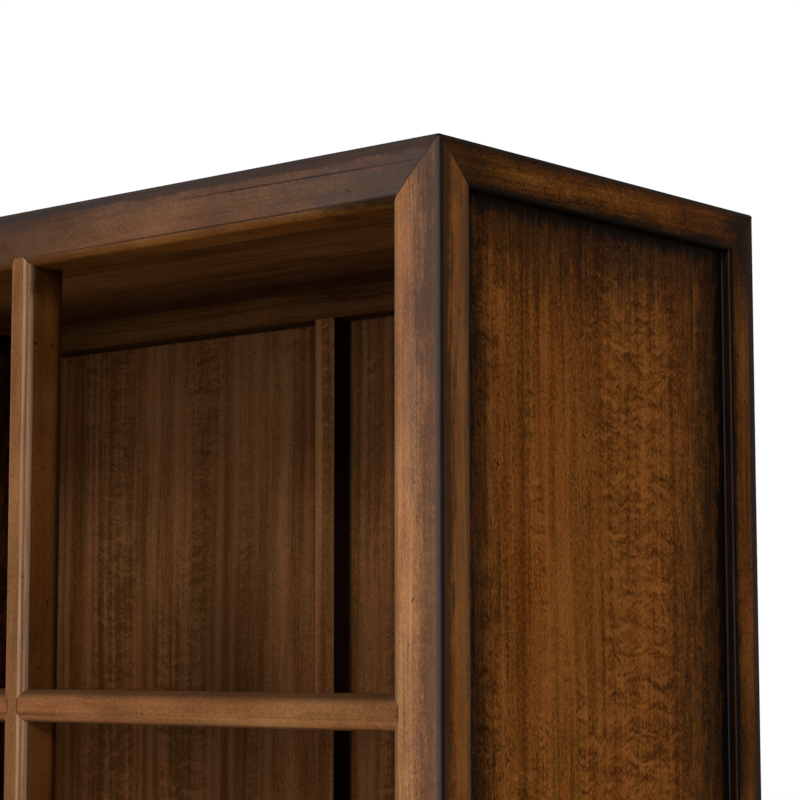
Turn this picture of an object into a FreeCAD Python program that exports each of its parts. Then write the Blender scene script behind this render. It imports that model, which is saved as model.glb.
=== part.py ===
import FreeCAD, Part
import math
import os
import Sketcher

# Chinese book cabinet: open shelves over a cupboard with two pivot-hung doors.
# X runs across the front, Y runs back, Z runs up. The origin is the centre of the
# whole outline's footprint, on the floor. The right-hand pieces are drawn, and the
# left-hand ones are their mirror images.

doc = FreeCAD.newDocument("BookCabinet")
sheet = doc.addObject("Spreadsheet::Sheet", "Sizes")


class Size:
    # A length with its number now and the expression of sheet cells that gives it.
    def __init__(self, number, text):
        self.number = number
        self.text = text

    def joined(self, other, sign, number):
        return Size(number, "(%s %s %s)" % (self.text, sign, other.text))

    def __add__(self, other):
        other = asSize(other)
        return self.joined(other, "+", self.number + other.number)

    def __sub__(self, other):
        other = asSize(other)
        return self.joined(other, "-", self.number - other.number)

    def __mul__(self, other):
        other = asSize(other)
        return self.joined(other, "*", self.number * other.number)

    def __truediv__(self, other):
        other = asSize(other)
        return self.joined(other, "/", self.number / other.number)

    def __radd__(self, other):
        return asSize(other) + self

    def __rmul__(self, other):
        return asSize(other) * self

    def __neg__(self):
        return Size(-self.number, "(0 - %s)" % self.text)


def asSize(value):
    if isinstance(value, Size):
        return value
    return Size(float(value), "%.12g" % value)


sizeCount = 0


def size(alias, value, note):
    # One row of the sheet: the name, the number with its alias, and what it is.
    global sizeCount
    sizeCount += 1
    sheet.set("A%d" % sizeCount, alias)
    sheet.set("B%d" % sizeCount, "%.12g" % value)
    sheet.setAlias("B%d" % sizeCount, alias)
    sheet.set("C%d" % sizeCount, note)
    return Size(float(value), "Sizes." + alias)


# The case
caseWidth = size("caseWidth", 946, "across the two side frames")
caseDepth = size("caseDepth", 430, "front frame to back frame")
postWidth = size("postWidth", 48.5, "corner post across the front")
frameDepth = size("frameDepth", 38, "depth of the front and back frames")
footHeight = size("footHeight", 147, "floor to the bottom rail")
bottomRailHeight = size("bottomRailHeight", 40, "rail under the doors")
doorOpening = size("doorOpening", 540, "height of the cupboard's mouth")
waistRailHeight = size("waistRailHeight", 34, "rail over the doors")
cubbyHeight = size("cubbyHeight", 362.5, "clear height of an open row")
shelfRailHeight = size("shelfRailHeight", 27, "rail in front of a shelf")
topRailHeight = size("topRailHeight", 47.5, "front top rail")
rearRailHeight = size("rearRailHeight", 50, "back top rail")
sideRailHeight = size("sideRailHeight", 36, "top rail of a side frame")
sideRailDepth = size("sideRailDepth", 38, "thickness of the lower side rails")
midPostWidth = size("midPostWidth", 26.5, "post and back stile between the columns")

# Faces and edges
pillow = size("pillow", 1.2, "rise of a frame face at its middle")
arris = size("arris", 2.6, "flat on the outer corners")
edgeRound = size("edgeRound", 7.5, "round on the edges of the front openings")
sideRound = size("sideRound", 4, "round on the edges beside a side panel")
railSet = size("railSet", 1.5, "shelf rails and middle post behind the case's face")

# Joints and seats
tenonThick = size("tenonThick", 10, "thickness of a tenon")
tenonLength = size("tenonLength", 18, "length of a rail's tenon in a corner post")
midTenonLength = size("midTenonLength", 9, "length of a tenon at the middle post")
tenonShoulder = size("tenonShoulder", 6, "step from a rail's edge to its tenon")
dowelRadius = size("dowelRadius", 4, "dowels in the mitred corners")
dowelLength = size("dowelLength", 22, "length of those dowels")
tongue = size("tongue", 8, "depth of the grooves and housings")
seatGap = size("seatGap", 0.3, "room left at the end of a seat")

# Panels and boards
panelThick = size("panelThick", 10, "side and top panels")
sidePanelSet = size("sidePanelSet", 10.5, "side panel behind the side face")
topPanelSet = size("topPanelSet", 11, "top panel below the top face")
backPanelThick = size("backPanelThick", 8, "back panels")
backPanelSet = size("backPanelSet", 8.5, "back panel in front of the back face")
shelfThick = size("shelfThick", 16, "shelf boards")
shelfLip = size("shelfLip", 8, "front rail above its shelf")
bearerWidth = size("bearerWidth", 16, "bearer under a shelf's end")
bearerHeight = size("bearerHeight", 20, "height of that bearer")

# Aprons
apronThick = size("apronThick", 18, "thickness of the aprons")
apronRise = size("apronRise", 28, "height of an apron at its middle")
apronDrop = size("apronDrop", 60, "height of an apron at its brackets")
apronBracket = size("apronBracket", 34, "flat end of a bracket")

# Doors
doorThick = size("doorThick", 22, "thickness of a door frame")
doorSet = size("doorSet", 4, "door face behind the case's face")
doorGap = size("doorGap", 2, "gap round a door")
doorFrameWidth = size("doorFrameWidth", 46, "stiles and rails of a door")
doorRound = size("doorRound", 6, "round beside a door panel")
doorPanelThick = size("doorPanelThick", 8, "door panel")
doorPanelSet = size("doorPanelSet", 8, "door panel behind the door's face")
pivotRadius = size("pivotRadius", 5, "wooden pivot of a door")
pivotLength = size("pivotLength", 12, "length of a pivot past the door")
pivotGap = size("pivotGap", 0.3, "room round a pivot in its socket")

# Door furniture
plateRadius = size("plateRadius", 15, "round plate under a pull")
plateThick = size("plateThick", 2.5, "thickness of the plate")
plateBevel = size("plateBevel", 1.2, "bevel of the plate")
stemRadius = size("stemRadius", 4.5, "stem that carries the ring")
pullReach = size("pullReach", 16, "stem in front of the door's face")
ringRadius = size("ringRadius", 19, "ring, to the middle of its wire")
ringWire = size("ringWire", 1.7, "radius of the ring's wire")
ringGap = size("ringGap", 0.9, "room round the wire in the stem")
catchWidth = size("catchWidth", 26, "door catch")
catchHeight = size("catchHeight", 13, "height of a catch")
catchDepth = size("catchDepth", 11, "depth of a catch")
catchSpacing = size("catchSpacing", 70, "between the catches' centres")

# Loose shelf in the cupboard
looseGap = size("looseGap", 1, "room at the loose shelf's ends")
pinRadius = size("pinRadius", 3, "shelf pin")
pinSeat = size("pinSeat", 9, "length of a pin inside its post")
pinReach = size("pinReach", 9, "length of a pin under the shelf")
pinInset = size("pinInset", 7, "centre of a pin from its post's inner edge")

# Planes that several pieces share
half = caseWidth / 2
front = (pullReach - doorSet - caseDepth) / 2
back = front + caseDepth
postInner = half - postWidth
frontInner = front + frameDepth
backInner = back - frameDepth
railFront = front + railSet
railRear = railFront + frameDepth
panelOuter = half - sidePanelSet
panelInner = panelOuter - panelThick
backPanelRear = back - backPanelSet
backPanelFront = backPanelRear - backPanelThick
sideRailInner = half - sideRailDepth
bottomTop = footHeight + bottomRailHeight
waistLow = bottomTop + doorOpening
waistTop = waistLow + waistRailHeight
lowerLow = waistTop + cubbyHeight
lowerTop = lowerLow + shelfRailHeight
upperLow = lowerTop + cubbyHeight
upperTop = upperLow + shelfRailHeight
topLow = upperTop + cubbyHeight
top = topLow + topRailHeight
midHalf = midPostWidth / 2
headDepth = edgeRound + railSet
sideTenon = (frameDepth - tenonThick) / 2 - 2 * railSet
frontTenonY = railFront + (frameDepth - tenonThick) / 2
backTenonY = backInner + sideTenon + railSet
backTenonThick = backPanelFront - railSet - backTenonY
sideTenonX = panelInner - tenonThick - railSet

pieces = []


def newBody(label):
    body = doc.addObject("PartDesign::Body", label)
    body.Label = label
    pieces.append(body)
    return body


def originPlane(body, role):
    for feature in body.Origin.OriginFeatures:
        if feature.Role == role:
            return feature
    raise ValueError("no plane " + role)


def arcEdge(start, end, radius):
    # An arc of the given radius from start to end. A positive radius bulges to the
    # right of the way from start to end, and a negative one to the left.
    if radius < 0:
        start, end = end, start
    along = end - start
    middle = (start + end) / 2
    rise = math.sqrt(max(radius * radius - along.Length ** 2 / 4, 0))
    inward = FreeCAD.Vector(-along.y, along.x, 0) / along.Length
    centre = middle + inward * rise
    first = math.atan2(start.y - centre.y, start.x - centre.x)
    last = math.atan2(end.y - centre.y, end.x - centre.x)
    circle = Part.Circle(centre, FreeCAD.Vector(0, 0, 1), abs(radius))
    return Part.ArcOfCircle(circle, first, last)


def bindConstraint(sketch, kind, *where, value):
    index = sketch.addConstraint(Sketcher.Constraint(kind, *where, value.number))
    sketch.setExpression("Constraints[%d]" % index, value.text)


def drawOutline(sketch, points):
    # A closed outline. Each point is (u, v), or (u, v, radius) where an arc leaves it.
    corners = [FreeCAD.Vector(point[0].number, point[1].number, 0) for point in points]
    ends = []
    for index, point in enumerate(points):
        start = corners[index]
        end = corners[(index + 1) % len(corners)]
        if len(point) == 3:
            radius = point[2]
            sketch.addGeometry(arcEdge(start, end, radius.number))
            ends.append((1, 2) if radius.number > 0 else (2, 1))
        else:
            sketch.addGeometry(Part.LineSegment(start, end))
            ends.append((1, 2))
    for index, point in enumerate(points):
        following = (index + 1) % len(points)
        where = (index, ends[index][1], following, ends[following][0])
        sketch.addConstraint(Sketcher.Constraint("Coincident", *where))
        bindConstraint(sketch, "DistanceX", -1, 1, index, ends[index][0], value=asSize(point[0]))
        bindConstraint(sketch, "DistanceY", -1, 1, index, ends[index][0], value=asSize(point[1]))
        if len(point) == 3:
            radius = point[2] if point[2].number > 0 else -point[2]
            bindConstraint(sketch, "Radius", index, value=radius)


planeRoles = {"X": "YZ_Plane", "Y": "XZ_Plane", "Z": "XY_Plane"}


def prism(body, kind, name, axis, low, high, points):
    # A pad or a pocket of an outline, from low to high along one axis of the body.
    sketch = body.newObject("Sketcher::SketchObject", name + "Sketch")
    sketch.AttachmentSupport = [(originPlane(body, planeRoles[axis]), "")]
    sketch.MapMode = "FlatFace"
    offset = -low if axis == "Y" else low
    sketch.setExpression("AttachmentOffset.Base.z", offset.text)
    drawOutline(sketch, points)
    feature = body.newObject("PartDesign::" + kind, name)
    feature.Profile = (sketch, [""])
    feature.setExpression("Length", (high - low).text)
    feature.Reversed = (axis == "Y") == (kind == "Pad")
    return feature


def pad(body, name, axis, low, high, points):
    return prism(body, "Pad", name, axis, low, high, points)


def pocket(body, name, axis, low, high, points):
    return prism(body, "Pocket", name, axis, low, high, points)


def block(body, kind, name, low, high):
    # A box feature between two corners of the body.
    feature = body.newObject("PartDesign::%sBox" % kind, name)
    for side, first, last in zip(("Length", "Width", "Height"), low, high):
        feature.setExpression(side, (last - first).text)
    for letter, first in zip("xyz", low):
        feature.setExpression("Placement.Base." + letter, first.text)
    return feature


def addBlock(body, name, low, high):
    return block(body, "Additive", name, low, high)


def cutBlock(body, name, low, high):
    return block(body, "Subtractive", name, low, high)


def plainBoard(label, low, high):
    # A board with square edges.
    board = doc.addObject("Part::Box", label)
    board.Label = label
    for side, first, last in zip(("Length", "Width", "Height"), low, high):
        board.setExpression(side, (last - first).text)
    for letter, first in zip("xyz", low):
        board.setExpression("Placement.Base." + letter, first.text)
    pieces.append(board)
    return board


def together(label, parts):
    # Like pieces that share one node.
    group = doc.addObject("Part::Compound", label)
    group.Label = label
    group.Links = parts
    pieces.append(group)
    return group


def mirrored(source):
    # The left-hand twin of a right-hand piece.
    label = source.Label.replace("right", "left")
    twin = doc.addObject("Part::Mirroring", label)
    twin.Label = label
    twin.Source = source
    twin.Normal = FreeCAD.Vector(1, 0, 0)
    twin.Base = FreeCAD.Vector(0, 0, 0)
    pieces.append(twin)
    return twin


def bulge(chord, rise):
    # Radius of an arc with this chord and rise.
    return (chord * chord / 4 + rise * rise) / (2 * rise)


nothing = asSize(0)

# Dowels of the mitred corners
farShare = 0.66
nearShare = 0.33
upright = FreeCAD.Rotation()
backward = FreeCAD.Rotation(FreeCAD.Vector(1, 0, 0), -90)


def dowelSpots(way, frontMost):
    # Each dowel of a corner: its name, the middle of its length, and its rotation.
    face = front if frontMost else back
    inward = 1 if frontMost else -1
    railHeight = topRailHeight if frontMost else rearRailHeight
    farX = (half - postWidth * farShare) * way
    nearX = (half - postWidth * nearShare) * way
    farY = face + frameDepth * farShare * inward
    nearY = face + frameDepth * nearShare * inward
    return {
        "Cross": (farX, nearY, top - railHeight * farShare, upright),
        "Side": (nearX, farY, top - sideRailHeight * farShare, upright),
        "Top": (farX, farY, top - 2 * dowelRadius, backward),
    }


def placeDowel(item, spot, length):
    x, y, z, rotation = spot
    item.Placement.Rotation = rotation
    if rotation is upright:
        z = z - length / 2
    else:
        y = y - length / 2
    item.setExpression("Radius", dowelRadius.text)
    item.setExpression("Height", length.text)
    for letter, place in zip("xyz", (x, y, z)):
        item.setExpression("Placement.Base." + letter, place.text)


def dowelHoles(body, way, frontMost, names):
    spots = dowelSpots(way, frontMost)
    for name in names:
        corner = ("Front" if frontMost else "Back") + ("Right" if way > 0 else "Left")
        hole = body.newObject("PartDesign::SubtractiveCylinder", corner + name + "DowelHole")
        placeDowel(hole, spots[name], dowelLength + 2 * seatGap)


def cornerDowels():
    dowels = []
    for way in (1, -1):
        for frontMost in (True, False):
            for name, spot in dowelSpots(way, frontMost).items():
                dowel = doc.addObject("Part::Cylinder", "Dowel%d" % len(dowels))
                placeDowel(dowel, spot, dowelLength)
                dowels.append(dowel)
    return together("corner_dowels", dowels)


# Corner posts

def postSeats(body, frontMost):
    # Mortises and grooves of a corner post. frontMost tells a front post from a back one.
    inner = frontInner if frontMost else backInner
    grooveLow = inner - tongue if frontMost else inner
    cutBlock(body, "PanelGroove", (panelInner, grooveLow, footHeight + tenonShoulder),
             (panelOuter, grooveLow + tongue, top))
    mortiseLow = inner - sideTenon if frontMost else inner
    for name, low, high in (("Bottom", footHeight, bottomTop), ("Waist", waistLow, waistTop)):
        cutBlock(body, "Side%sMortise" % name,
                 (sideTenonX, mortiseLow, low + tenonShoulder),
                 (sideTenonX + tenonThick, mortiseLow + sideTenon, high - tenonShoulder))
    tenonY = frontTenonY if frontMost else backTenonY
    thick = tenonThick if frontMost else backTenonThick
    rails = [("Bottom", footHeight, bottomTop), ("Waist", waistLow, waistTop)]
    if frontMost:
        rails += [("Lower", lowerLow, lowerTop), ("Upper", upperLow, upperTop)]
    for name, low, high in rails:
        cutBlock(body, name + "Mortise", (postInner, tenonY, low + tenonShoulder),
                 (postInner + tenonLength, tenonY + thick, high - tenonShoulder))
        if frontMost:
            cutHead(body, name + "Head", postInner, 1, low, high, front, railFront + headDepth,
                    edgeRound)


def cutHead(body, name, x, way, low, high, near, far, rounding, roundLow=True, roundHigh=True):
    # The seat of a rail's head: mitred at the rounded edges, square between them.
    step = rounding * way
    points = [
        (x, low),
        (x + step, low + (rounding if roundLow else nothing)),
        (x + step, high - (rounding if roundHigh else nothing)),
        (x, high),
    ]
    return pocket(body, name, "Y", near, far, points)


def trimHead(body, name, x, way, low, high, near, layer, far, rounding,
             roundLow=True, roundHigh=True):
    # Trims the end of a rail, which runs past x by the rounding, to that head.
    step = rounding * way
    left = x if way > 0 else x + step
    cutBlock(body, name + "Back", (left, layer, low), (left + rounding, far, high))
    if roundLow:
        pocket(body, name + "Low", "Y", near, far,
               [(x, low), (x + step, low), (x + step, low + rounding)])
    if roundHigh:
        pocket(body, name + "High", "Y", near, far,
               [(x, high), (x + step, high), (x + step, high - rounding)])


def frontPost():
    body = newBody("post_front_right")
    edge = frontInner - sideRound
    frontChord = postWidth - edgeRound - arris
    sideChord = frameDepth - sideRound - arris
    pad(body, "Stick", "Z", nothing, top, [
        (half - arris, front + pillow),
        (half - pillow, front + arris, bulge(sideChord, pillow)),
        (half - pillow, edge, sideRound),
        (half - pillow - sideRound, frontInner),
        (postInner, frontInner),
        (postInner, front + pillow + edgeRound, edgeRound),
        (postInner + edgeRound, front + pillow, bulge(frontChord, pillow)),
    ])
    pocket(body, "FrontMitre", "Y", front, frontInner,
           [(half, top), (postInner, top), (postInner, topLow)])
    pocket(body, "SideMitre", "X", postInner, half,
           [(front, top), (frontInner, top), (frontInner, top - sideRailHeight)])
    postSeats(body, True)
    dowelHoles(body, 1, True, ("Cross", "Side"))
    cutPinHole(body, loosePinFront)
    return body


def backPost():
    body = newBody("post_back_right")
    sideChord = frameDepth - sideRound - arris
    pad(body, "Stick", "Z", nothing, top, [
        (postInner, backInner),
        (half - pillow - sideRound, backInner, sideRound),
        (half - pillow, backInner + sideRound, bulge(sideChord, pillow)),
        (half - pillow, back - arris),
        (half - arris, back),
        (postInner, back),
    ])
    pocket(body, "BackMitre", "Y", backInner, back,
           [(half, top), (postInner, top), (postInner, top - rearRailHeight)])
    pocket(body, "SideMitre", "X", postInner, half,
           [(back, top), (backInner, top), (backInner, top - sideRailHeight)])
    postSeats(body, False)
    dowelHoles(body, 1, False, ("Cross", "Side"))
    cutBlock(body, "BackGroove",
             (postInner, backPanelFront, footHeight + tenonShoulder),
             (postInner + tongue, backPanelRear, top))
    cutPinHole(body, loosePinBack)
    return body


# Top frame

def topRailFront():
    body = newBody("top_rail_front")
    chord = topRailHeight - edgeRound - arris
    pad(body, "Stick", "X", -half, half, [
        (frontInner, topLow),
        (frontInner, top),
        (front + arris, top),
        (front + pillow, top - arris, bulge(chord, pillow)),
        (front + pillow, topLow + edgeRound, edgeRound),
        (front + pillow + edgeRound, topLow),
    ])
    for name, way in (("Right", 1), ("Left", -1)):
        end = half * way
        inner = postInner * way
        pocket(body, name + "FrontMitre", "Y", front, frontInner,
               [(end, top), (end, topLow), (inner, topLow)])
        pocket(body, name + "TopMitre", "Z", topLow, top,
               [(end, front), (end, frontInner), (inner, frontInner)])
    cutBlock(body, "PanelGroove", (-postInner - tongue, frontInner - tongue, topPanelLow),
             (postInner + tongue, frontInner, topPanelHigh))
    pocket(body, "MidHead", "Y", front, railFront + headDepth, [
        (-midHalf, topLow),
        (-midHalf + edgeRound, topLow + edgeRound),
        (midHalf - edgeRound, topLow + edgeRound),
        (midHalf, topLow),
    ])
    cutBlock(body, "MidMortise", midTenonLow(topLow), midTenonHigh(topLow + tenonLength))
    for way in (1, -1):
        dowelHoles(body, way, True, ("Cross", "Top"))
    return body


def topRailBack():
    body = newBody("top_rail_back")
    low = top - rearRailHeight
    pad(body, "Stick", "X", -half, half, [
        (backInner, low),
        (back, low),
        (back, top - arris),
        (back - arris, top),
        (backInner, top),
    ])
    for name, way in (("Right", 1), ("Left", -1)):
        end = half * way
        inner = postInner * way
        pocket(body, name + "BackMitre", "Y", backInner, back,
               [(end, top), (end, low), (inner, low)])
        pocket(body, name + "TopMitre", "Z", low, top,
               [(end, back), (end, backInner), (inner, backInner)])
    cutBlock(body, "PanelGroove", (-postInner - tongue, backInner, topPanelLow),
             (postInner + tongue, backInner + tongue, topPanelHigh))
    cutBlock(body, "BackGroove", (-postInner - tongue, backPanelFront, low),
             (postInner + tongue, backPanelRear, low + tongue))
    cutBlock(body, "StileMortise", stileTenonLow(low), stileTenonHigh(low + midTenonLength))
    for way in (1, -1):
        dowelHoles(body, way, False, ("Cross", "Top"))
    return body


def topRailSide():
    body = newBody("top_rail_right")
    low = top - sideRailHeight
    chord = sideRailHeight - sideRound - arris
    pad(body, "Stick", "Y", front, back, [
        (postInner, low),
        (half - pillow - sideRound, low, sideRound),
        (half - pillow, low + sideRound, bulge(chord, pillow)),
        (half - pillow, top - arris),
        (half - arris, top),
        (postInner, top),
    ])
    for name, face, inner in (("Front", front, frontInner), ("Back", back, backInner)):
        pocket(body, name + "SideMitre", "X", postInner, half,
               [(face, top), (face, low), (inner, low)])
        pocket(body, name + "TopMitre", "Z", low, top,
               [(half, face), (postInner, face), (postInner, inner)])
    cutBlock(body, "TopGroove", (postInner, frontInner - tongue, topPanelLow),
             (postInner + tongue, backInner + tongue, topPanelHigh))
    cutBlock(body, "PanelGroove", (panelInner, frontInner - tongue, low),
             (panelOuter, backInner + tongue, low + tongue))
    for frontMost in (True, False):
        dowelHoles(body, 1, frontMost, ("Side", "Top"))
    return body


topPanelHigh = top - topPanelSet
topPanelLow = topPanelHigh - panelThick


def topPanel():
    reach = postInner + tongue - seatGap
    return plainBoard("top_panel", (-reach, frontInner - tongue + seatGap, topPanelLow),
                      (reach, backInner + tongue - seatGap, topPanelHigh))


# Middle post and back stile

def midTenonLow(z):
    return (-tenonThick / 2, frontTenonY, z)


def midTenonHigh(z):
    return (tenonThick / 2, frontTenonY + tenonThick, z)


def stileTenonLow(z):
    return (-tenonThick / 2, backInner + tongue + railSet, z)


def stileTenonHigh(z):
    return (tenonThick / 2, backPanelFront - railSet, z)


def midPost():
    body = newBody("mid_post")
    pad(body, "Stick", "Z", waistTop - edgeRound, topLow + edgeRound, [
        (midHalf - edgeRound, railFront, edgeRound),
        (midHalf, railFront + edgeRound),
        (midHalf, railRear),
        (-midHalf, railRear),
        (-midHalf, railFront + edgeRound, edgeRound),
        (-midHalf + edgeRound, railFront),
    ])
    layer = railFront + headDepth
    for name, z, way in (("Top", topLow, 1), ("Waist", waistTop, -1)):
        step = edgeRound * way
        low = z if way > 0 else z + step
        cutBlock(body, name + "Back", (-midHalf, layer, low), (midHalf, railRear, low + edgeRound))
        for side, edge in (("Right", 1), ("Left", -1)):
            x = midHalf * edge
            pocket(body, name + side, "Y", railFront, railRear,
                   [(x, z), (x, z + step), (x - edgeRound * edge, z + step)])
    addBlock(body, "TopTenon", midTenonLow(topLow), midTenonHigh(topLow + tenonLength - seatGap))
    addBlock(body, "WaistTenon", midTenonLow(waistTop - tenonLength + seatGap),
             midTenonHigh(waistTop))
    for name, low, high in (("Lower", lowerLow, lowerTop), ("Upper", upperLow, upperTop)):
        for side, way in (("Right", 1), ("Left", -1)):
            face = midHalf * way
            cutHead(body, name + side + "Head", face, -way, low, high, railFront,
                    railFront + headDepth, edgeRound)
            left = face - midTenonLength if way > 0 else face
            cutBlock(body, name + side + "Mortise", (left, frontTenonY, low + tenonShoulder),
                     (left + midTenonLength, frontTenonY + tenonThick, high - tenonShoulder))
    return body


def backStile():
    body = newBody("back_stile")
    high = top - rearRailHeight
    addBlock(body, "Stick", (-midHalf, backInner, waistTop), (midHalf, back, high))
    addBlock(body, "TopTenon", stileTenonLow(high), stileTenonHigh(high + midTenonLength - seatGap))
    addBlock(body, "WaistTenon", stileTenonLow(waistTop - midTenonLength + seatGap),
             stileTenonHigh(waistTop))
    for name, left in (("Right", midHalf - tongue), ("Left", -midHalf)):
        cutBlock(body, name + "Groove", (left, backPanelFront, waistTop),
                 (left + tongue, backPanelRear, high))
    return body


# Rails across the front

def railOutline(low, high):
    return [
        (railRear, low),
        (railRear, high),
        (railFront + edgeRound, high, edgeRound),
        (railFront, high - edgeRound),
        (railFront, low + edgeRound, edgeRound),
        (railFront + edgeRound, low),
    ]


def housing(body, left, right, high):
    # The groove in a rail's back that holds the front edge of its board.
    cutBlock(body, "Housing", (left, railRear - tongue, high - shelfLip - shelfThick),
             (right, railRear, high - shelfLip))


def shelfRail(label, low, high):
    body = newBody(label)
    pad(body, "Stick", "X", midHalf - edgeRound, postInner + edgeRound, railOutline(low, high))
    layer = railFront + headDepth
    trimHead(body, "MidHead", midHalf, -1, low, high, railFront, layer, railRear, edgeRound)
    trimHead(body, "PostHead", postInner, 1, low, high, railFront, layer, railRear, edgeRound)
    housing(body, midHalf, postInner, high)
    addBlock(body, "MidTenon", (midHalf - midTenonLength + seatGap, frontTenonY, low + tenonShoulder),
             (midHalf, frontTenonY + tenonThick, high - tenonShoulder))
    addBlock(body, "PostTenon", (postInner, frontTenonY, low + tenonShoulder),
             (postInner + tenonLength - seatGap, frontTenonY + tenonThick, high - tenonShoulder))
    return body


def longRail(label, low, high):
    # A rail from post to post.
    body = newBody(label)
    reach = postInner + edgeRound
    pad(body, "Stick", "X", -reach, reach, railOutline(low, high))
    layer = railFront + headDepth
    trimHead(body, "RightHead", postInner, 1, low, high, railFront, layer, railRear, edgeRound)
    trimHead(body, "LeftHead", -postInner, -1, low, high, railFront, layer, railRear, edgeRound)
    housing(body, -postInner, postInner, high)
    length = tenonLength - seatGap
    for name, left in (("Right", postInner), ("Left", -postInner - length)):
        addBlock(body, name + "Tenon", (left, frontTenonY, low + tenonShoulder),
                 (left + length, frontTenonY + tenonThick, high - tenonShoulder))
    return body


def socket(body, name, way, low, high):
    # The hole in a rail for a door's wooden pivot.
    hole = body.newObject("PartDesign::SubtractiveCylinder", name)
    hole.setExpression("Radius", (pivotRadius + pivotGap).text)
    hole.setExpression("Height", (high - low).text)
    hole.setExpression("Placement.Base.x", (pivotX * way).text)
    hole.setExpression("Placement.Base.y", pivotY.text)
    hole.setExpression("Placement.Base.z", low.text)


def waistRail():
    body = longRail("waist_rail_front", waistLow, waistTop)
    cutBlock(body, "MidMortise", midTenonLow(waistTop - tenonLength), midTenonHigh(waistTop))
    pocket(body, "MidHead", "Y", railFront, railFront + headDepth, [
        (-midHalf, waistTop),
        (-midHalf + edgeRound, waistTop - edgeRound),
        (midHalf - edgeRound, waistTop - edgeRound),
        (midHalf, waistTop),
    ])
    for name, way in (("RightSocket", 1), ("LeftSocket", -1)):
        socket(body, name, way, waistLow, waistLow + pivotLength)
    return body


def bottomRail():
    body = longRail("bottom_rail_front", footHeight, bottomTop)
    for name, way in (("RightSocket", 1), ("LeftSocket", -1)):
        socket(body, name, way, bottomTop - pivotLength, bottomTop)
    return body


# Side frames and back frame

def sideRail(label, low, high):
    body = newBody(label)
    chord = high - low - 2 * sideRound
    face = half - pillow
    pad(body, "Stick", "Y", frontInner, backInner, [
        (sideRailInner, low),
        (face - sideRound, low, sideRound),
        (face, low + sideRound, bulge(chord, pillow)),
        (face, high - sideRound, sideRound),
        (face - sideRound, high),
        (sideRailInner, high),
    ])
    cutBlock(body, "UpperGroove", (panelInner, frontInner, high - tongue),
             (panelOuter, backInner, high))
    if label.startswith("side_rail_waist"):
        cutBlock(body, "LowerGroove", (panelInner, frontInner, low),
                 (panelOuter, backInner, low + tongue))
    cutBlock(body, "Housing", (sideRailInner, frontInner, high - shelfLip - shelfThick),
             (sideRailInner + tongue, backInner, high - shelfLip))
    length = sideTenon - seatGap
    for name, y in (("Front", frontInner - length), ("Back", backInner)):
        addBlock(body, name + "Tenon", (sideTenonX, y, low + tenonShoulder),
                 (sideTenonX + tenonThick, y + length, high - tenonShoulder))
    return body


def backRail(label, low, high):
    body = newBody(label)
    addBlock(body, "Stick", (-postInner, backInner, low), (postInner, back, high))
    cutBlock(body, "UpperGroove", (-postInner, backPanelFront, high - tongue),
             (postInner, backPanelRear, high))
    if label == "back_rail_waist":
        cutBlock(body, "LowerGroove", (-postInner, backPanelFront, low),
                 (postInner, backPanelRear, low + tongue))
        cutBlock(body, "StileMortise", stileTenonLow(high - midTenonLength), stileTenonHigh(high))
    cutBlock(body, "Housing", (-postInner, backInner, high - shelfLip - shelfThick),
             (postInner, backInner + tongue, high - shelfLip))
    length = tenonLength - seatGap
    for name, left in (("Right", postInner), ("Left", -postInner - length)):
        addBlock(body, name + "Tenon", (left, backTenonY, low + tenonShoulder),
                 (left + length, backTenonY + backTenonThick, high - tenonShoulder))
    return body


def sidePanel(label, low, high):
    slack = tongue - seatGap
    return plainBoard(label, (panelInner, frontInner - slack, low - slack),
                      (panelOuter, backInner + slack, high + slack))


def backPanel(label, left, right, low, high):
    slack = tongue - seatGap
    return plainBoard(label, (left - slack, backPanelFront, low - slack),
                      (right + slack, backPanelRear, high + slack))


# Boards

def board(label, high, reach, rear, notched):
    # A board behind a front rail, notched round the posts and, higher up, round the
    # middle post and the back stile.
    body = newBody(label)
    zHigh = high - shelfLip
    zLow = zHigh - shelfThick
    near = railRear - tongue + seatGap
    addBlock(body, "Board", (-reach, near, zLow), (reach, rear, zHigh))
    clearX = postInner - seatGap
    for name, left in (("Right", clearX), ("Left", -reach)):
        right = left + reach - clearX
        cutBlock(body, "Front%sNotch" % name, (left, near, zLow),
                 (right, frontInner + seatGap, zHigh))
        cutBlock(body, "Back%sNotch" % name, (left, backInner - seatGap, zLow),
                 (right, rear, zHigh))
    if notched:
        clearMid = midHalf + seatGap
        cutBlock(body, "MidNotch", (-clearMid, near, zLow), (clearMid, railRear + seatGap, zHigh))
        cutBlock(body, "StileNotch", (-clearMid, backInner - seatGap, zLow), (clearMid, rear, zHigh))
    return body


def bearer(label, high):
    # The batten under a shelf's end, from post to post.
    zHigh = high - shelfLip - shelfThick
    return plainBoard(label, (panelInner - bearerWidth, frontInner, zHigh - bearerHeight),
                      (panelInner, backInner, zHigh))


# Aprons

apronFront = railFront + railSet
apronSide = half - 2 * railSet


def apronOutline(left, right):
    # Straight along the top, with a bracket at each end and a raised middle below.
    curve = apronDrop - apronRise
    low = footHeight - apronDrop
    return [
        (left, low),
        (left + apronBracket, low, -curve),
        (left + apronBracket + curve, low + curve),
        (right - apronBracket - curve, low + curve, -curve),
        (right - apronBracket, low),
        (right, low),
        (right, footHeight),
        (left, footHeight),
    ]


def frontApron():
    body = newBody("apron_front")
    pad(body, "Board", "Y", apronFront, apronFront + apronThick, apronOutline(-postInner, postInner))
    return body


def sideApron():
    body = newBody("apron_right")
    pad(body, "Board", "X", apronSide - apronThick, apronSide, apronOutline(frontInner, backInner))
    return body


# Doors

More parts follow.
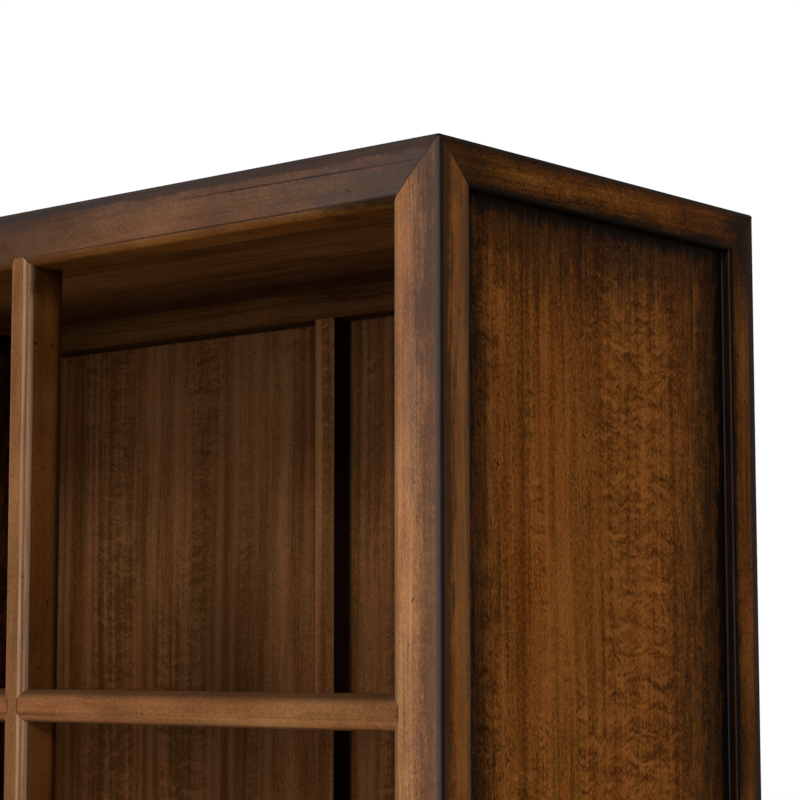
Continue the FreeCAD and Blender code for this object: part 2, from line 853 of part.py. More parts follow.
doorFront = front + doorSet
doorBack = doorFront + doorThick
doorLow = bottomTop + doorGap
doorHigh = waistLow - doorGap
doorLeft = doorGap / 2
doorRight = postInner - doorGap
pivotX = doorRight - doorThick / 2
pivotY = doorFront + doorThick / 2
doorPanelFront = doorFront + doorPanelSet
doorPanelBack = doorPanelFront + doorPanelThick
doorTenonY = doorPanelFront - railSet
doorTenonThick = doorPanelThick + railSet
hingeStileInner = doorRight - doorFrameWidth
meetStileInner = doorLeft + doorFrameWidth
doorRails = (
    ("Bottom", doorLow, doorLow + doorFrameWidth, False, True),
    ("Top", doorHigh - doorFrameWidth, doorHigh, True, False),
)


def doorTenonSpan(low, high, panelBelow):
    # The tenon of a door rail keeps clear of the panel's edge.
    haunch = tongue + railSet
    if panelBelow:
        return low + haunch, high - tenonShoulder
    return low + tenonShoulder, high - haunch


def doorStileSeats(body, face, way):
    # The seats of the door's rails and panel in a stile. way points into the stile.
    for name, low, high, roundLow, roundHigh in doorRails:
        cutHead(body, name + "Head", face, way, low, high, doorFront, doorFront + doorRound + railSet,
                doorRound, roundLow, roundHigh)
        left = face if way > 0 else face - tenonLength
        tenonLow, tenonHigh = doorTenonSpan(low, high, roundLow)
        cutBlock(body, name + "Mortise", (left, doorTenonY, tenonLow),
                 (left + tenonLength, doorTenonY + doorTenonThick, tenonHigh))
    left = face if way > 0 else face - tongue
    cutBlock(body, "PanelGroove", (left, doorPanelFront, doorLow + doorFrameWidth - tongue),
             (left + tongue, doorPanelBack, doorHigh - doorFrameWidth + tongue))


def doorHingeStile():
    # Its outer edge is round about the pivot, so that it turns beside the post.
    body = newBody("door_right_hinge_stile")
    pad(body, "Stick", "Z", doorLow, doorHigh, [
        (hingeStileInner + doorRound, doorFront),
        (pivotX, doorFront, doorThick / 2),
        (doorRight, pivotY, doorThick / 2),
        (pivotX, doorBack),
        (hingeStileInner, doorBack),
        (hingeStileInner, doorFront + doorRound, doorRound),
    ])
    doorStileSeats(body, hingeStileInner, 1)
    reach = doorGap + pivotLength - pivotGap
    for name, low in (("TopPivot", doorHigh), ("BottomPivot", doorLow - reach)):
        pivot = body.newObject("PartDesign::AdditiveCylinder", name)
        pivot.setExpression("Radius", pivotRadius.text)
        pivot.setExpression("Height", reach.text)
        pivot.setExpression("Placement.Base.x", pivotX.text)
        pivot.setExpression("Placement.Base.y", pivotY.text)
        pivot.setExpression("Placement.Base.z", low.text)
    return body


def doorMeetStile():
    body = newBody("door_right_meeting_stile")
    pad(body, "Stick", "Z", doorLow, doorHigh, [
        (doorLeft + railSet, doorFront),
        (meetStileInner - doorRound, doorFront, doorRound),
        (meetStileInner, doorFront + doorRound),
        (meetStileInner, doorBack),
        (doorLeft, doorBack),
        (doorLeft, doorFront + railSet),
    ])
    doorStileSeats(body, meetStileInner, -1)
    return body


def doorRail(label, low, high, roundLow, roundHigh):
    body = newBody(label)
    outline = [(doorBack, low), (doorBack, high)]
    if roundHigh:
        outline += [(doorFront + doorRound, high, doorRound), (doorFront, high - doorRound)]
    else:
        outline += [(doorFront, high)]
    if roundLow:
        outline += [(doorFront, low + doorRound, doorRound), (doorFront + doorRound, low)]
    else:
        outline += [(doorFront, low)]
    pad(body, "Stick", "X", meetStileInner - doorRound, hingeStileInner + doorRound, outline)
    layer = doorFront + doorRound + railSet
    trimHead(body, "MeetHead", meetStileInner, -1, low, high, doorFront, layer, doorBack,
             doorRound, roundLow, roundHigh)
    trimHead(body, "HingeHead", hingeStileInner, 1, low, high, doorFront, layer, doorBack,
             doorRound, roundLow, roundHigh)
    length = tenonLength - seatGap
    tenonLow, tenonHigh = doorTenonSpan(low, high, roundLow)
    for name, left in (("Meet", meetStileInner - length), ("Hinge", hingeStileInner)):
        addBlock(body, name + "Tenon", (left, doorTenonY, tenonLow),
                 (left + length, doorTenonY + doorTenonThick, tenonHigh))
    grooveLow = low if roundLow else high - tongue
    cutBlock(body, "PanelGroove", (meetStileInner, doorPanelFront, grooveLow),
             (hingeStileInner, doorPanelBack, grooveLow + tongue))
    return body


def doorPanel():
    slack = tongue - seatGap
    edge = doorFrameWidth - slack
    return plainBoard("door_right_panel", (doorLeft + edge, doorPanelFront, doorLow + edge),
                      (doorRight - edge, doorPanelBack, doorHigh - edge))


# Door furniture

pullX = doorLeft + doorFrameWidth / 2
pullZ = (doorLow + doorHigh) / 2
ringY = doorFront - pullReach + stemRadius + ringWire + ringGap


def pullMount():
    # A round plate with a domed stem, turned about its own Y axis, and a hole for the ring.
    body = newBody("pull_mount_right")
    body.setExpression("Placement.Base.x", pullX.text)
    body.setExpression("Placement.Base.y", doorFront.text)
    body.setExpression("Placement.Base.z", pullZ.text)
    sketch = body.newObject("Sketcher::SketchObject", "ProfileSketch")
    sketch.AttachmentSupport = [(originPlane(body, "XY_Plane"), "")]
    sketch.MapMode = "FlatFace"
    drawOutline(sketch, [
        (nothing, -pullReach, stemRadius),
        (stemRadius, stemRadius - pullReach),
        (stemRadius, -plateThick),
        (plateRadius - plateBevel, -plateThick),
        (plateRadius, plateBevel - plateThick),
        (plateRadius, nothing),
        (nothing, nothing),
    ])
    turned = body.newObject("PartDesign::Revolution", "Turned")
    turned.Profile = (sketch, [""])
    turned.ReferenceAxis = (sketch, ["V_Axis"])
    turned.Angle = 360
    hole = body.newObject("PartDesign::SubtractiveCylinder", "RingHole")
    hole.setExpression("Radius", (ringWire + ringGap).text)
    hole.setExpression("Height", (2 * stemRadius + 2 * ringGap).text)
    hole.Placement.Rotation = FreeCAD.Rotation(FreeCAD.Vector(0, 1, 0), 90)
    hole.setExpression("Placement.Base.x", (-stemRadius - ringGap).text)
    hole.setExpression("Placement.Base.y", (ringY - doorFront).text)
    return body


def pullRing():
    # The ring hangs in the stem's hole, in front of the door.
    ring = doc.addObject("Part::Torus", "pull_ring_right")
    ring.Label = "pull_ring_right"
    ring.setExpression("Radius1", ringRadius.text)
    ring.setExpression("Radius2", ringWire.text)
    ring.Placement.Rotation = FreeCAD.Rotation(FreeCAD.Vector(1, 0, 0), 90)
    ring.setExpression("Placement.Base.x", pullX.text)
    ring.setExpression("Placement.Base.y", ringY.text)
    ring.setExpression("Placement.Base.z", (pullZ - ringRadius).text)
    pieces.append(ring)
    return ring


def doorCatches():
    catches = []
    for index, way in enumerate((1, -1)):
        catch = doc.addObject("Part::Box", "Catch%d" % index)
        catch.setExpression("Length", catchWidth.text)
        catch.setExpression("Width", catchDepth.text)
        catch.setExpression("Height", catchHeight.text)
        catch.setExpression("Placement.Base.x", ((catchSpacing * way - catchWidth) / 2).text)
        catch.setExpression("Placement.Base.y", (doorBack + seatGap).text)
        catch.setExpression("Placement.Base.z", (waistLow - catchHeight).text)
        catches.append(catch)
    return together("door_catches", catches)


# Loose shelf in the cupboard

looseLow = bottomTop + doorOpening / 2
looseFront = doorBack + doorGap
looseBack = backPanelFront - looseGap
loosePinFront = frontInner - pinInset
loosePinBack = backInner + pinInset
pinHeight = looseLow - pinRadius


def cutPinHole(body, y):
    hole = body.newObject("PartDesign::SubtractiveCylinder", "PinHole")
    hole.setExpression("Radius", pinRadius.text)
    hole.setExpression("Height", (pinSeat + seatGap).text)
    hole.Placement.Rotation = FreeCAD.Rotation(FreeCAD.Vector(0, 1, 0), 90)
    hole.setExpression("Placement.Base.x", postInner.text)
    hole.setExpression("Placement.Base.y", y.text)
    hole.setExpression("Placement.Base.z", pinHeight.text)


def shelfPins():
    pins = []
    spots = ((1, loosePinFront), (1, loosePinBack), (-1, loosePinFront), (-1, loosePinBack))
    for index, (way, y) in enumerate(spots):
        left = postInner - pinReach if way > 0 else -postInner - pinSeat
        pin = doc.addObject("Part::Cylinder", "Pin%d" % index)
        pin.setExpression("Radius", pinRadius.text)
        pin.setExpression("Height", (pinReach + pinSeat).text)
        pin.Placement.Rotation = FreeCAD.Rotation(FreeCAD.Vector(0, 1, 0), 90)
        pin.setExpression("Placement.Base.x", left.text)
        pin.setExpression("Placement.Base.y", y.text)
        pin.setExpression("Placement.Base.z", pinHeight.text)
        pins.append(pin)
    return together("shelf_pins", pins)


def looseShelf():
    reach = postInner - looseGap
    return plainBoard("cupboard_shelf", (-reach, looseFront, looseLow),
                      (reach, looseBack, looseLow + shelfThick))


# Build every piece
mirrored(frontPost())
mirrored(backPost())
topRailFront()
topRailBack()
mirrored(topRailSide())
cornerDowels()
topPanel()
midPost()
backStile()
mirrored(shelfRail("shelf_rail_upper_right", upperLow, upperTop))
mirrored(shelfRail("shelf_rail_lower_right", lowerLow, lowerTop))
waistRail()
bottomRail()
mirrored(sideRail("side_rail_waist_right", waistLow, waistTop))
mirrored(sideRail("side_rail_bottom_right", footHeight, bottomTop))
backRail("back_rail_waist", waistLow, waistTop)
backRail("back_rail_bottom", footHeight, bottomTop)
mirrored(sidePanel("side_panel_upper_right", waistTop, top - sideRailHeight))
mirrored(sidePanel("side_panel_lower_right", bottomTop, waistLow))
mirrored(backPanel("back_panel_upper_right", midHalf, postInner, waistTop, top - rearRailHeight))
backPanel("back_panel_lower", -postInner, postInner, bottomTop, waistLow)
shelfReach = panelInner - seatGap
shelfRear = backPanelFront - seatGap
board("shelf_upper", upperTop, shelfReach, shelfRear, True)
board("shelf_lower", lowerTop, shelfReach, shelfRear, True)
housedReach = sideRailInner + tongue - seatGap
housedRear = backInner + tongue - seatGap
board("waist_board", waistTop, housedReach, housedRear, False)
board("bottom_board", bottomTop, housedReach, housedRear, False)
mirrored(bearer("shelf_bearer_upper_right", upperTop))
mirrored(bearer("shelf_bearer_lower_right", lowerTop))
frontApron()
mirrored(sideApron())
mirrored(doorHingeStile())
mirrored(doorMeetStile())
for railName, railLow, railHigh, lowRounded, highRounded in doorRails:
    railLabel = "door_right_%s_rail" % railName.lower()
    mirrored(doorRail(railLabel, railLow, railHigh, lowRounded, highRounded))
mirrored(doorPanel())
mirrored(pullMount())
mirrored(pullRing())
doorCatches()
looseShelf()
shelfPins()

doc.recompute()

# Check every object and every piece's shape before anything is written
for item in doc.Objects:
    for state in item.State:
        if state in ("Invalid", "Error"):
            raise RuntimeError("%s is %s" % (item.Name, state))
for piece in pieces:
    if piece.Shape.isNull() or not piece.Shape.isValid():
        raise RuntimeError("%s has no valid shape" % piece.Label)

os.makedirs("parts", exist_ok=True)
for piece in pieces:
    piece.Shape.exportStep("parts/%s.step" % piece.Label)
print("wrote %d pieces" % len(pieces))
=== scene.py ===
import math
import bpy
from mathutils import Euler, Matrix, Vector


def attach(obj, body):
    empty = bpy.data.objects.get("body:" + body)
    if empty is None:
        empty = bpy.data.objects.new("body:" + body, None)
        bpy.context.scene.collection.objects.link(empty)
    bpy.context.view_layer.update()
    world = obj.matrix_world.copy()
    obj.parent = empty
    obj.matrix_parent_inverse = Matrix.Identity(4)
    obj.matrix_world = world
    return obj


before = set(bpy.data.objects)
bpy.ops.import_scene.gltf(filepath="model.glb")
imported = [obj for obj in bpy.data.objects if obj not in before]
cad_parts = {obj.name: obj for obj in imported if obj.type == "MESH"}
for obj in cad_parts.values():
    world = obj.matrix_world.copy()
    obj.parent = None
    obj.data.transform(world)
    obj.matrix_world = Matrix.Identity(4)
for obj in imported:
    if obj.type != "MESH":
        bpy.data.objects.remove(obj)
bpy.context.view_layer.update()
print("cabinet loaded,", len(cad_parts), "pieces")

# camera of the photograph: front right, below the top, looking slightly up
photoCamera = {
    "place": (1.5362, -1.4907, 1.5697),
    "turn": 40.671,  # degrees, to the left of straight on
    "tilt": 5.870,
    "roll": -0.063,
    "lens": 104.17,
    "sensor": 36,
    "shiftUp": 0.02,
    "nearest": 0.05,
    "farthest": 100,
}
cameraData = bpy.data.cameras.new("photoCamera")
cameraData.sensor_width = photoCamera["sensor"]
cameraData.lens = photoCamera["lens"]
cameraData.shift_y = photoCamera["shiftUp"]
cameraData.clip_start = photoCamera["nearest"]
cameraData.clip_end = photoCamera["farthest"]
camera = bpy.data.objects.new("photoCamera", cameraData)
bpy.context.scene.collection.objects.link(camera)
aim = Euler((math.radians(90 + photoCamera["tilt"]), 0, math.radians(photoCamera["turn"])))
rolled = aim.to_matrix() @ Matrix.Rotation(math.radians(photoCamera["roll"]), 3, "Z")
camera.location = photoCamera["place"]
camera.rotation_euler = rolled.to_euler()
bpy.context.scene.camera = camera
bpy.context.scene.view_settings.view_transform = "Standard"

# planes of the case in metres; x counts from the middle to either side
case = {
    "half": 0.473, "front": -0.209, "back": 0.221,
    "postInner": 0.4245, "frontInner": -0.171, "backInner": 0.183,
    "railFront": -0.2075, "midHalf": 0.01325,
    "footHigh": 0.147, "bottomTop": 0.187, "waistLow": 0.727, "waistTop": 0.761,
    "lowerLow": 1.1235, "lowerTop": 1.1505, "upperLow": 1.513, "upperTop": 1.540,
    "topLow": 1.9025, "sideTopLow": 1.914, "backTopLow": 1.900, "top": 1.950,
    "panelFace": 0.4625,
}


class FinishTree:
    # the nodes of one finish, with short ways to add them
    def __init__(self, name):
        self.material = bpy.data.materials.new(name)
        self.material.use_nodes = True
        self.tree = self.material.node_tree
        self.tree.nodes.clear()

    def add(self, kind, settings=None, **sockets):
        node = self.tree.nodes.new("ShaderNode" + kind)
        for key, value in (settings or {}).items():
            setattr(node, key, value)
        for key, value in sockets.items():
            self.feed(node.inputs[key.replace("_", " ")], value)
        return node

    def feed(self, socket, value):
        if isinstance(value, bpy.types.NodeSocket):
            self.tree.links.new(value, socket)
        else:
            socket.default_value = value

    def math(self, operation, first, second=0.0):
        node = self.tree.nodes.new("ShaderNodeMath")
        node.operation = operation
        self.feed(node.inputs[0], first)
        self.feed(node.inputs[1], second)
        return node.outputs[0]

    def away(self, value, centre, weight):
        # weight times the distance from centre, with its sign
        node = self.tree.nodes.new("ShaderNodeMath")
        node.operation = "MULTIPLY_ADD"
        self.feed(node.inputs[0], value)
        node.inputs[1].default_value = weight
        node.inputs[2].default_value = -centre * weight
        return node.outputs[0]

    def step(self, value, low, high, outLow=0.0, outHigh=1.0):
        # a smooth step from outLow to outHigh while the value goes from low to high
        node = self.tree.nodes.new("ShaderNodeMapRange")
        node.interpolation_type = "SMOOTHSTEP"
        for socket, item in zip(node.inputs, (value, low, high, outLow, outHigh)):
            self.feed(socket, item)
        return node.outputs[0]

    def mix(self, factor, first, second, way="MIX"):
        node = self.tree.nodes.new("ShaderNodeMix")
        node.data_type = "RGBA"
        node.blend_type = way
        self.feed(node.inputs[0], factor)
        self.feed(node.inputs[6], first)
        self.feed(node.inputs[7], second)
        return node.outputs[2]

    def ramp(self, value, stops):
        node = self.tree.nodes.new("ShaderNodeValToRGB")
        elements = node.color_ramp.elements
        while len(elements) < len(stops):
            elements.new(0.5)
        for element, (place, colour) in zip(elements, stops):
            element.position = place
            element.color = (*colour, 1)
        self.feed(node.inputs[0], value)
        return node.outputs[0]

    def grain(self, source, along, across, way, shift, turn=(0, 0, 0)):
        # coordinates in units of the size along the grain and across it
        node = self.add("Mapping", {"vector_type": "TEXTURE"}, Vector=source)
        size = [across, across, across]
        size["XYZ".index(way)] = along
        node.inputs["Scale"].default_value = size
        node.inputs["Location"].default_value = shift
        node.inputs["Rotation"].default_value = turn
        return node.outputs[0]

    def noise(self, where, detail=2.0, roughness=0.5, warp=0.0, socket="Fac"):
        node = self.add("TexNoise", None, Vector=where, Scale=1.0, Detail=detail,
                        Roughness=roughness, Distortion=warp)
        return node.outputs[socket]

    def finish(self, shader):
        output = self.add("OutputMaterial")
        self.tree.links.new(shader.outputs[0], output.inputs[0])
        return self.material


# stained and glazed wood: three tones, then the weights of the parts of its figure, then its coats; the
# dark glaze also stands for painted shade, and the pale, grey and blue-grey coats are painted highlights
# and painted reflections
woodLooks = {
    "frame": {
        "dark": (0.130, 0.050, 0.017), "mid": (0.265, 0.112, 0.038), "light": (0.380, 0.180, 0.070),
        "band": 0.35, "ribbon": 0.45, "streak": 0.25, "fleck": 1.05, "cloud": 1.10, "ripple": 0.90,
        "pore": 0.10, "nick": 0.80, "speck": 0.16,
        "glazeAndShade": (0.0120, 0.0060, 0.0042), "haze": (0.070, 0.060, 0.061), "worn": (0.620, 0.420, 0.300),
        "stain": (0.96, 0.80, 0.44), "rubbed": (0.042, 0.039, 0.044),
        "rough": 0.42, "shine": 0.035, "tint": (1, 0.72, 0.56),
    },
    "sideFrame": {
        "dark": (0.055, 0.017, 0.003), "mid": (0.175, 0.059, 0.0085), "light": (0.310, 0.118, 0.024),
        "band": 0.40, "ribbon": 0.70, "streak": 0.45, "fleck": 1.45, "cloud": 1.50, "ripple": 1.00,
        "pore": 0.30, "nick": 0.85, "speck": 0.20,
        "glazeAndShade": (0.0040, 0.0022, 0.0013), "stain": (0.88, 0.70, 0.36), "rubbed": (0.070, 0.076, 0.090),
        "rough": 0.46, "shine": 0.018, "tint": (1, 0.55, 0.30),
    },
    "sidePanel": {
        "dark": (0.080, 0.023, 0.0032), "mid": (0.222, 0.074, 0.0110), "light": (0.372, 0.138, 0.028),
        "band": 0.40, "ribbon": 0.95, "streak": 0.55, "fleck": 2.00, "cloud": 0.70, "ripple": 2.70,
        "pore": 0.45, "nick": 0.85, "speck": 0.05,
        "glazeAndShade": (0.0040, 0.0022, 0.0013),
        "rough": 0.48, "shine": 0.015, "tint": (1, 0.55, 0.30),
    },
    "doorPanel": {
        "dark": (0.095, 0.034, 0.0090), "mid": (0.215, 0.084, 0.0230), "light": (0.330, 0.145, 0.045),
        "band": 0.45, "ribbon": 0.90, "streak": 0.45, "fleck": 1.70, "cloud": 0.70, "ripple": 2.40,
        "pore": 0.40, "nick": 0.80, "speck": 0.05,
        "glazeAndShade": (0.008, 0.0050, 0.0040),
        "rough": 0.44, "shine": 0.05, "tint": (1, 0.65, 0.45),
    },
    "backPanel": {
        "dark": (0.060, 0.023, 0.006), "mid": (0.110, 0.045, 0.0145), "light": (0.165, 0.073, 0.027),
        "band": 0.70, "ribbon": 1.70, "streak": 0.60, "fleck": 1.70, "cloud": 0.50, "ripple": 2.40,
        "pore": 0.40, "nick": 0.20, "speck": 0.15,
        "glazeAndShade": (0.005, 0.003, 0.002),
        "rough": 0.50, "shine": 0.035, "tint": (1, 0.65, 0.45),
    },
    "inside": {
        "dark": (0.070, 0.025, 0.0055), "mid": (0.150, 0.060, 0.0160), "light": (0.230, 0.102, 0.032),
        "band": 0.60, "ribbon": 0.90, "streak": 1.00, "fleck": 1.30, "cloud": 0.60, "ripple": 0.60,
        "pore": 0.50, "nick": 0.30, "speck": 0.15,
        "glazeAndShade": (0.005, 0.003, 0.002),
        "rough": 0.50, "shine": 0.035, "tint": (1, 0.65, 0.45),
    },
}

# size along the grain and across it in metres, detail and roughness of each part of the figure
woodFigure = {
    "drift": (0.40, 0.10, 1.0, 0.5), "band": (1.5, 0.042, 1.0, 0.5), "ribbon": (0.60, 0.0100, 2.0, 0.5),
    "streak": (0.110, 0.0024, 3.0, 0.6), "fleck": (0.0030, 0.0010, 3.0, 0.7),
    "cloud": (0.110, 0.045, 3.0, 0.55), "ripple": (0.0150, 0.0230, 4.0, 0.52),
    "rippled": (0.22, 0.042, 1.0, 0.5), "warmth": (0.25, 0.014, 2.0, 0.5),
    "pit": (0.0150, 0.00085, 2.0, 0.5), "ragged": (0.032, 0.0100, 5.0, 0.65),
    "mottle": (0.0036, 0.0020, 2.0, 0.6), "nick": (0.036, 0.0095),
}
# how the parts are put together; pairs and fours are smooth steps: from, to, and the values there
woodTouch = {
    "seedSteps": (0.371, 0.513, 0.237), "seedSpan": 0.9,
    "wander": 0.020,  # how far the grain drifts
    "rippleLean": 0.014, "rippleApart": 0.0020, "rippleWarp": 0.5,
    "rippleStep": (0.50, 0.64, 0.10, 1.0), "rippleRagged": 1.6, "rippleFade": (0.3, 1.0, 1.0, 0.0),
    "darkAt": 0.16, "midAt": 0.5, "lightAt": 0.84,
    "warm": (1.05, 0.94, 0.92, 1), "cool": (0.97, 1.00, 0.97, 1), "warmStep": (0.35, 0.65),
    "pitStep": (0.60, 0.70), "nickTurn": (0.30, 0.35, 0.0), "nickStep": (0.50, 1.0, 0.0, 0.105),
    "speckStep": (0.46, 0.76), "speckWarp": 0.6, "speckRagged": 0.50,
    "swayRagged": 1.0, "swayStreak": 0.55, "swayFleck": 0.50, "swayFrom": 0.0100,
    "wornStep": (0.34, 0.66, 0.30, 1.0), "hazeStep": (0.30, 0.70, 0.70, 1.0),
    "rubbedStep": (0.30, 0.70, 0.70, 1.0),
    "lineCore": 0.3, "lineFleck": 1.2, "lineLevel": 0.45,
    "roughFleck": 0.20, "roughNick": 0.3,
    "reliefFleck": 0.30, "reliefPore": -0.50, "reliefNick": -2.0, "reliefCloud": 2.0,
    "relief": 0.55, "reliefHigh": 0.0006,
}


def stainedWood(name, look, way, zones, lines, depth, seed):
    # zones: for each coat a list of (strength, core, planes), fullest where the planes meet;
    # lines: a fine dark line in a sloping plane, with the plane that it lies on
    wood = woodLooks[look]
    touch = woodTouch
    tree = FinishTree(name)
    place = tree.add("TexCoord").outputs["Object"]
    parts = tree.add("SeparateXYZ", None, Vector=place)
    axes = {"x": tree.math("ABSOLUTE", parts.outputs[0]), "y": parts.outputs[1],
            "z": parts.outputs[2], "right": parts.outputs[0]}
    shift = [seed * item % touch["seedSpan"] for item in touch["seedSteps"]]

    def figure(part, where, start=shift, warp=0.0, socket="Fac"):
        along, across, detail, roughness = woodFigure[part]
        return tree.noise(tree.grain(where, along, across, way, start), detail, roughness, warp, socket)

    def slide(offset, factor, start):
        # start moved by offset times factor
        node = tree.add("VectorMath", {"operation": "MULTIPLY_ADD"})
        tree.feed(node.inputs[0], offset)
        node.inputs[1].default_value = factor
        tree.feed(node.inputs[2], start)
        return node.outputs[0]

    flow = slide(figure("drift", place, socket="Color"), [touch["wander"]] * 3, place)
    band = figure("band", flow)
    ribbon = figure("ribbon", flow)
    streak = figure("streak", flow)
    fleck = figure("fleck", flow)
    cloud = figure("cloud", place)
    # ripples that catch the light on one side: the same field twice, a little apart
    leaned = slide(ribbon, [touch["rippleLean"] * (axis == way) for axis in "XYZ"], flow)
    ripples = []
    for apart in (0.0, touch["rippleApart"]):
        moved = [value + apart * (axis == way) for value, axis in zip(shift, "XYZ")]
        ripples.append(figure("ripple", leaned, moved, touch["rippleWarp"]))
    rippled = tree.step(figure("rippled", flow), *touch["rippleStep"])
    for axis, middle, reach in zones.get("ripple", ()):
        column = tree.math("ABSOLUTE", tree.away(axes[axis], middle, 1 / reach))
        column = tree.math("ADD", column, tree.away(cloud, 0.5, touch["rippleRagged"]))
        rippled = tree.math("MAXIMUM", rippled, tree.step(column, *touch["rippleFade"]))
    tone = tree.away(band, 0.5, wood["band"])
    for field, weight in ((ribbon, "ribbon"), (streak, "streak"), (fleck, "fleck"), (cloud, "cloud")):
        tone = tree.math("ADD", tone, tree.away(field, 0.5, wood[weight]))
    wave = tree.away(tree.math("SUBTRACT", *ripples), 0.0, wood["ripple"])
    wave = tree.math("MULTIPLY", wave, rippled)
    tone = tree.math("ADD", tree.math("ADD", tone, wave), 0.5)
    colour = tree.ramp(tone, [(touch["darkAt"], wood["dark"]), (touch["midAt"], wood["mid"]),
                              (touch["lightAt"], wood["light"])])
    warmth = tree.step(figure("warmth", flow), *touch["warmStep"])
    colour = tree.mix(1.0, colour, tree.mix(warmth, touch["warm"], touch["cool"]), "MULTIPLY")

    # pores, nicks and specks
    pores = tree.step(figure("pit", flow), *touch["pitStep"], 0.0, wood["pore"])
    colour = tree.mix(pores, colour, (*wood["dark"], 1), "MULTIPLY")
    cell = tree.add("TexVoronoi", {"feature": "F1"}, Scale=1.0,
                    Vector=tree.grain(place, *woodFigure["nick"], way, shift, touch["nickTurn"]))
    chance = tree.add("SeparateColor", None, Color=cell.outputs["Color"]).outputs[0]
    nickSize = tree.step(chance, *touch["nickStep"])
    nicks = tree.math("MULTIPLY", tree.math("LESS_THAN", cell.outputs["Distance"], nickSize), wood["nick"])
    colour = tree.mix(nicks, colour, (*wood["glazeAndShade"], 1))
    ragged = figure("ragged", place)
    mottle = tree.math("ADD", figure("mottle", place, warp=touch["speckWarp"]),
                       tree.away(ragged, 0.5, touch["speckRagged"]))
    specks = tree.step(mottle, *touch["speckStep"], 0.0, wood["speck"])
    colour = tree.mix(specks, colour, (*wood["glazeAndShade"], 1))

    sway = tree.math("ADD", tree.away(ragged, 0.5, touch["swayRagged"]),
                     tree.away(streak, 0.5, touch["swayStreak"]))
    sway = tree.math("ADD", sway, tree.away(fleck, 0.5, touch["swayFleck"]))

    def nearEdge(edges):
        # how close a point is to the nearest of the edges, 0 to their strengths
        fullest = None
        for strength, core, planes in edges:
            gap = None
            for axis, middle, reach in planes:
                one = tree.math("ABSOLUTE", tree.away(axes[axis], middle, 1 / reach))
                gap = one if gap is None else tree.math("MAXIMUM", gap, one)
            if max(reach for axis, middle, reach in planes) > touch["swayFrom"]:
                gap = tree.math("ADD", gap, sway)
            near = tree.step(gap, core, 1.0, strength, 0.0)
            fullest = near if fullest is None else tree.math("MAXIMUM", fullest, near)
        return fullest

    def coated(under, coat):
        # a coat that lies more thinly on some streaks than on others
        if coat not in zones:
            return under
        thick = tree.math("MULTIPLY", nearEdge(zones[coat]), tree.step(streak, *touch[coat + "Step"]))
        return tree.mix(thick, under, (*wood[coat], 1))

    # painted highlights first, then a painted grey reflection of the white surroundings on the glaze
    colour = coated(coated(colour, "worn"), "haze")
    # the dark glaze; in recesses, under rails and on faces turned from the light it is painted shade
    glazeAndShade = nearEdge(zones.get("glazeAndShade", ()))
    for axisA, factorA, axisB, factorB, total, width, strength, axisC, placeC, reachC in lines:
        sloping = tree.math("ADD", tree.math("MULTIPLY", axes[axisA], factorA),
                            tree.math("MULTIPLY", axes[axisB], factorB))
        gap = tree.math("ADD", tree.math("ABSOLUTE", tree.away(sloping, total, 1 / width)),
                        tree.away(fleck, touch["lineLevel"], touch["lineFleck"]))
        if axisC:
            other = tree.math("ABSOLUTE", tree.away(axes[axisC], placeC, 1 / reachC))
            gap = tree.math("MAXIMUM", gap, other)
        near = tree.step(gap, touch["lineCore"], 1.0, strength, 0.0)
        glazeAndShade = near if glazeAndShade is None else tree.math("MAXIMUM", glazeAndShade, near)
    if glazeAndShade is not None:
        colour = tree.mix(glazeAndShade, colour, (*wood["glazeAndShade"], 1))
    # darker all over by the piece's depth value; on the rear top rail this is painted shadow
    if depth < 1:
        colour = tree.mix(1.0, colour, (depth, depth, depth, 1), "MULTIPLY")
    if "stain" in zones:
        colour = tree.mix(nearEdge(zones["stain"]), colour, (*wood["stain"], 1), "MULTIPLY")
    # painted highlight lines on edges, laid over all the rest
    colour = coated(colour, "rubbed")

    rough = tree.away(fleck, 0.5, touch["roughFleck"])
    rough = tree.math("ADD", rough, tree.away(nicks, 0.0, touch["roughNick"]))
    rough = tree.math("ADD", rough, wood["rough"])
    height = tree.math("ADD", tree.away(fleck, 0.0, touch["reliefFleck"]),
                       tree.away(pores, 0.0, touch["reliefPore"]))
    height = tree.math("ADD", height, tree.away(nicks, 0.0, touch["reliefNick"]))
    height = tree.math("ADD", height, tree.away(cloud, 0.0, touch["reliefCloud"]))
    bump = tree.add("Bump", None, Height=height, Strength=touch["relief"], Distance=touch["reliefHigh"])
    shader = tree.add("BsdfPrincipled", None, Base_Color=colour, Roughness=rough,
                      Normal=bump.outputs[0])
    shader.inputs["Specular IOR Level"].default_value = wood["shine"]
    shader.inputs["Specular Tint"].default_value = (*wood["tint"], 1)
    return tree.finish(shader)


def mitreLine(axisA, lengthA, axisB, lengthB, placeA, placeB, signA, signB, width, strength):
    # from the outer corner (placeA, placeB) of a joint to its inner corner
    slant = math.hypot(lengthA, lengthB)
    factorA = signA * lengthB / slant
    factorB = -signB * lengthA / slant
    total = factorA * placeA + factorB * placeB
    return (axisA, factorA, axisB, factorB, total, width, strength, None, 0, 1)


def corner(axisA, placeA, reachA, axisB, placeB, reachB, strength, core=0.15, third=()):
    # a coat along an edge, full within the core, which is a share of each reach
    return (strength, core, [(axisA, placeA, reachA), (axisB, placeB, reachB), *third])


def plane(axis, place, reach, strength, core=0.15):
    # a coat beside a plane
    return (strength, core, [(axis, place, reach)])


finished = []


def finishPieces(nodes, look, way, glazeAndShade=(), lines=(), depth=1.0, **coats):
    for node in nodes:
        zones = {"glazeAndShade": glazeAndShade, **coats}
        wood = stainedWood("wood." + node, look, way, zones, lines, depth, len(finished) + 1)
        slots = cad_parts[node].data.materials
        slots.clear()
        slots.append(wood)
        finished.append(node)


def both(stem):
    return [stem + "_right", stem + "_left"]


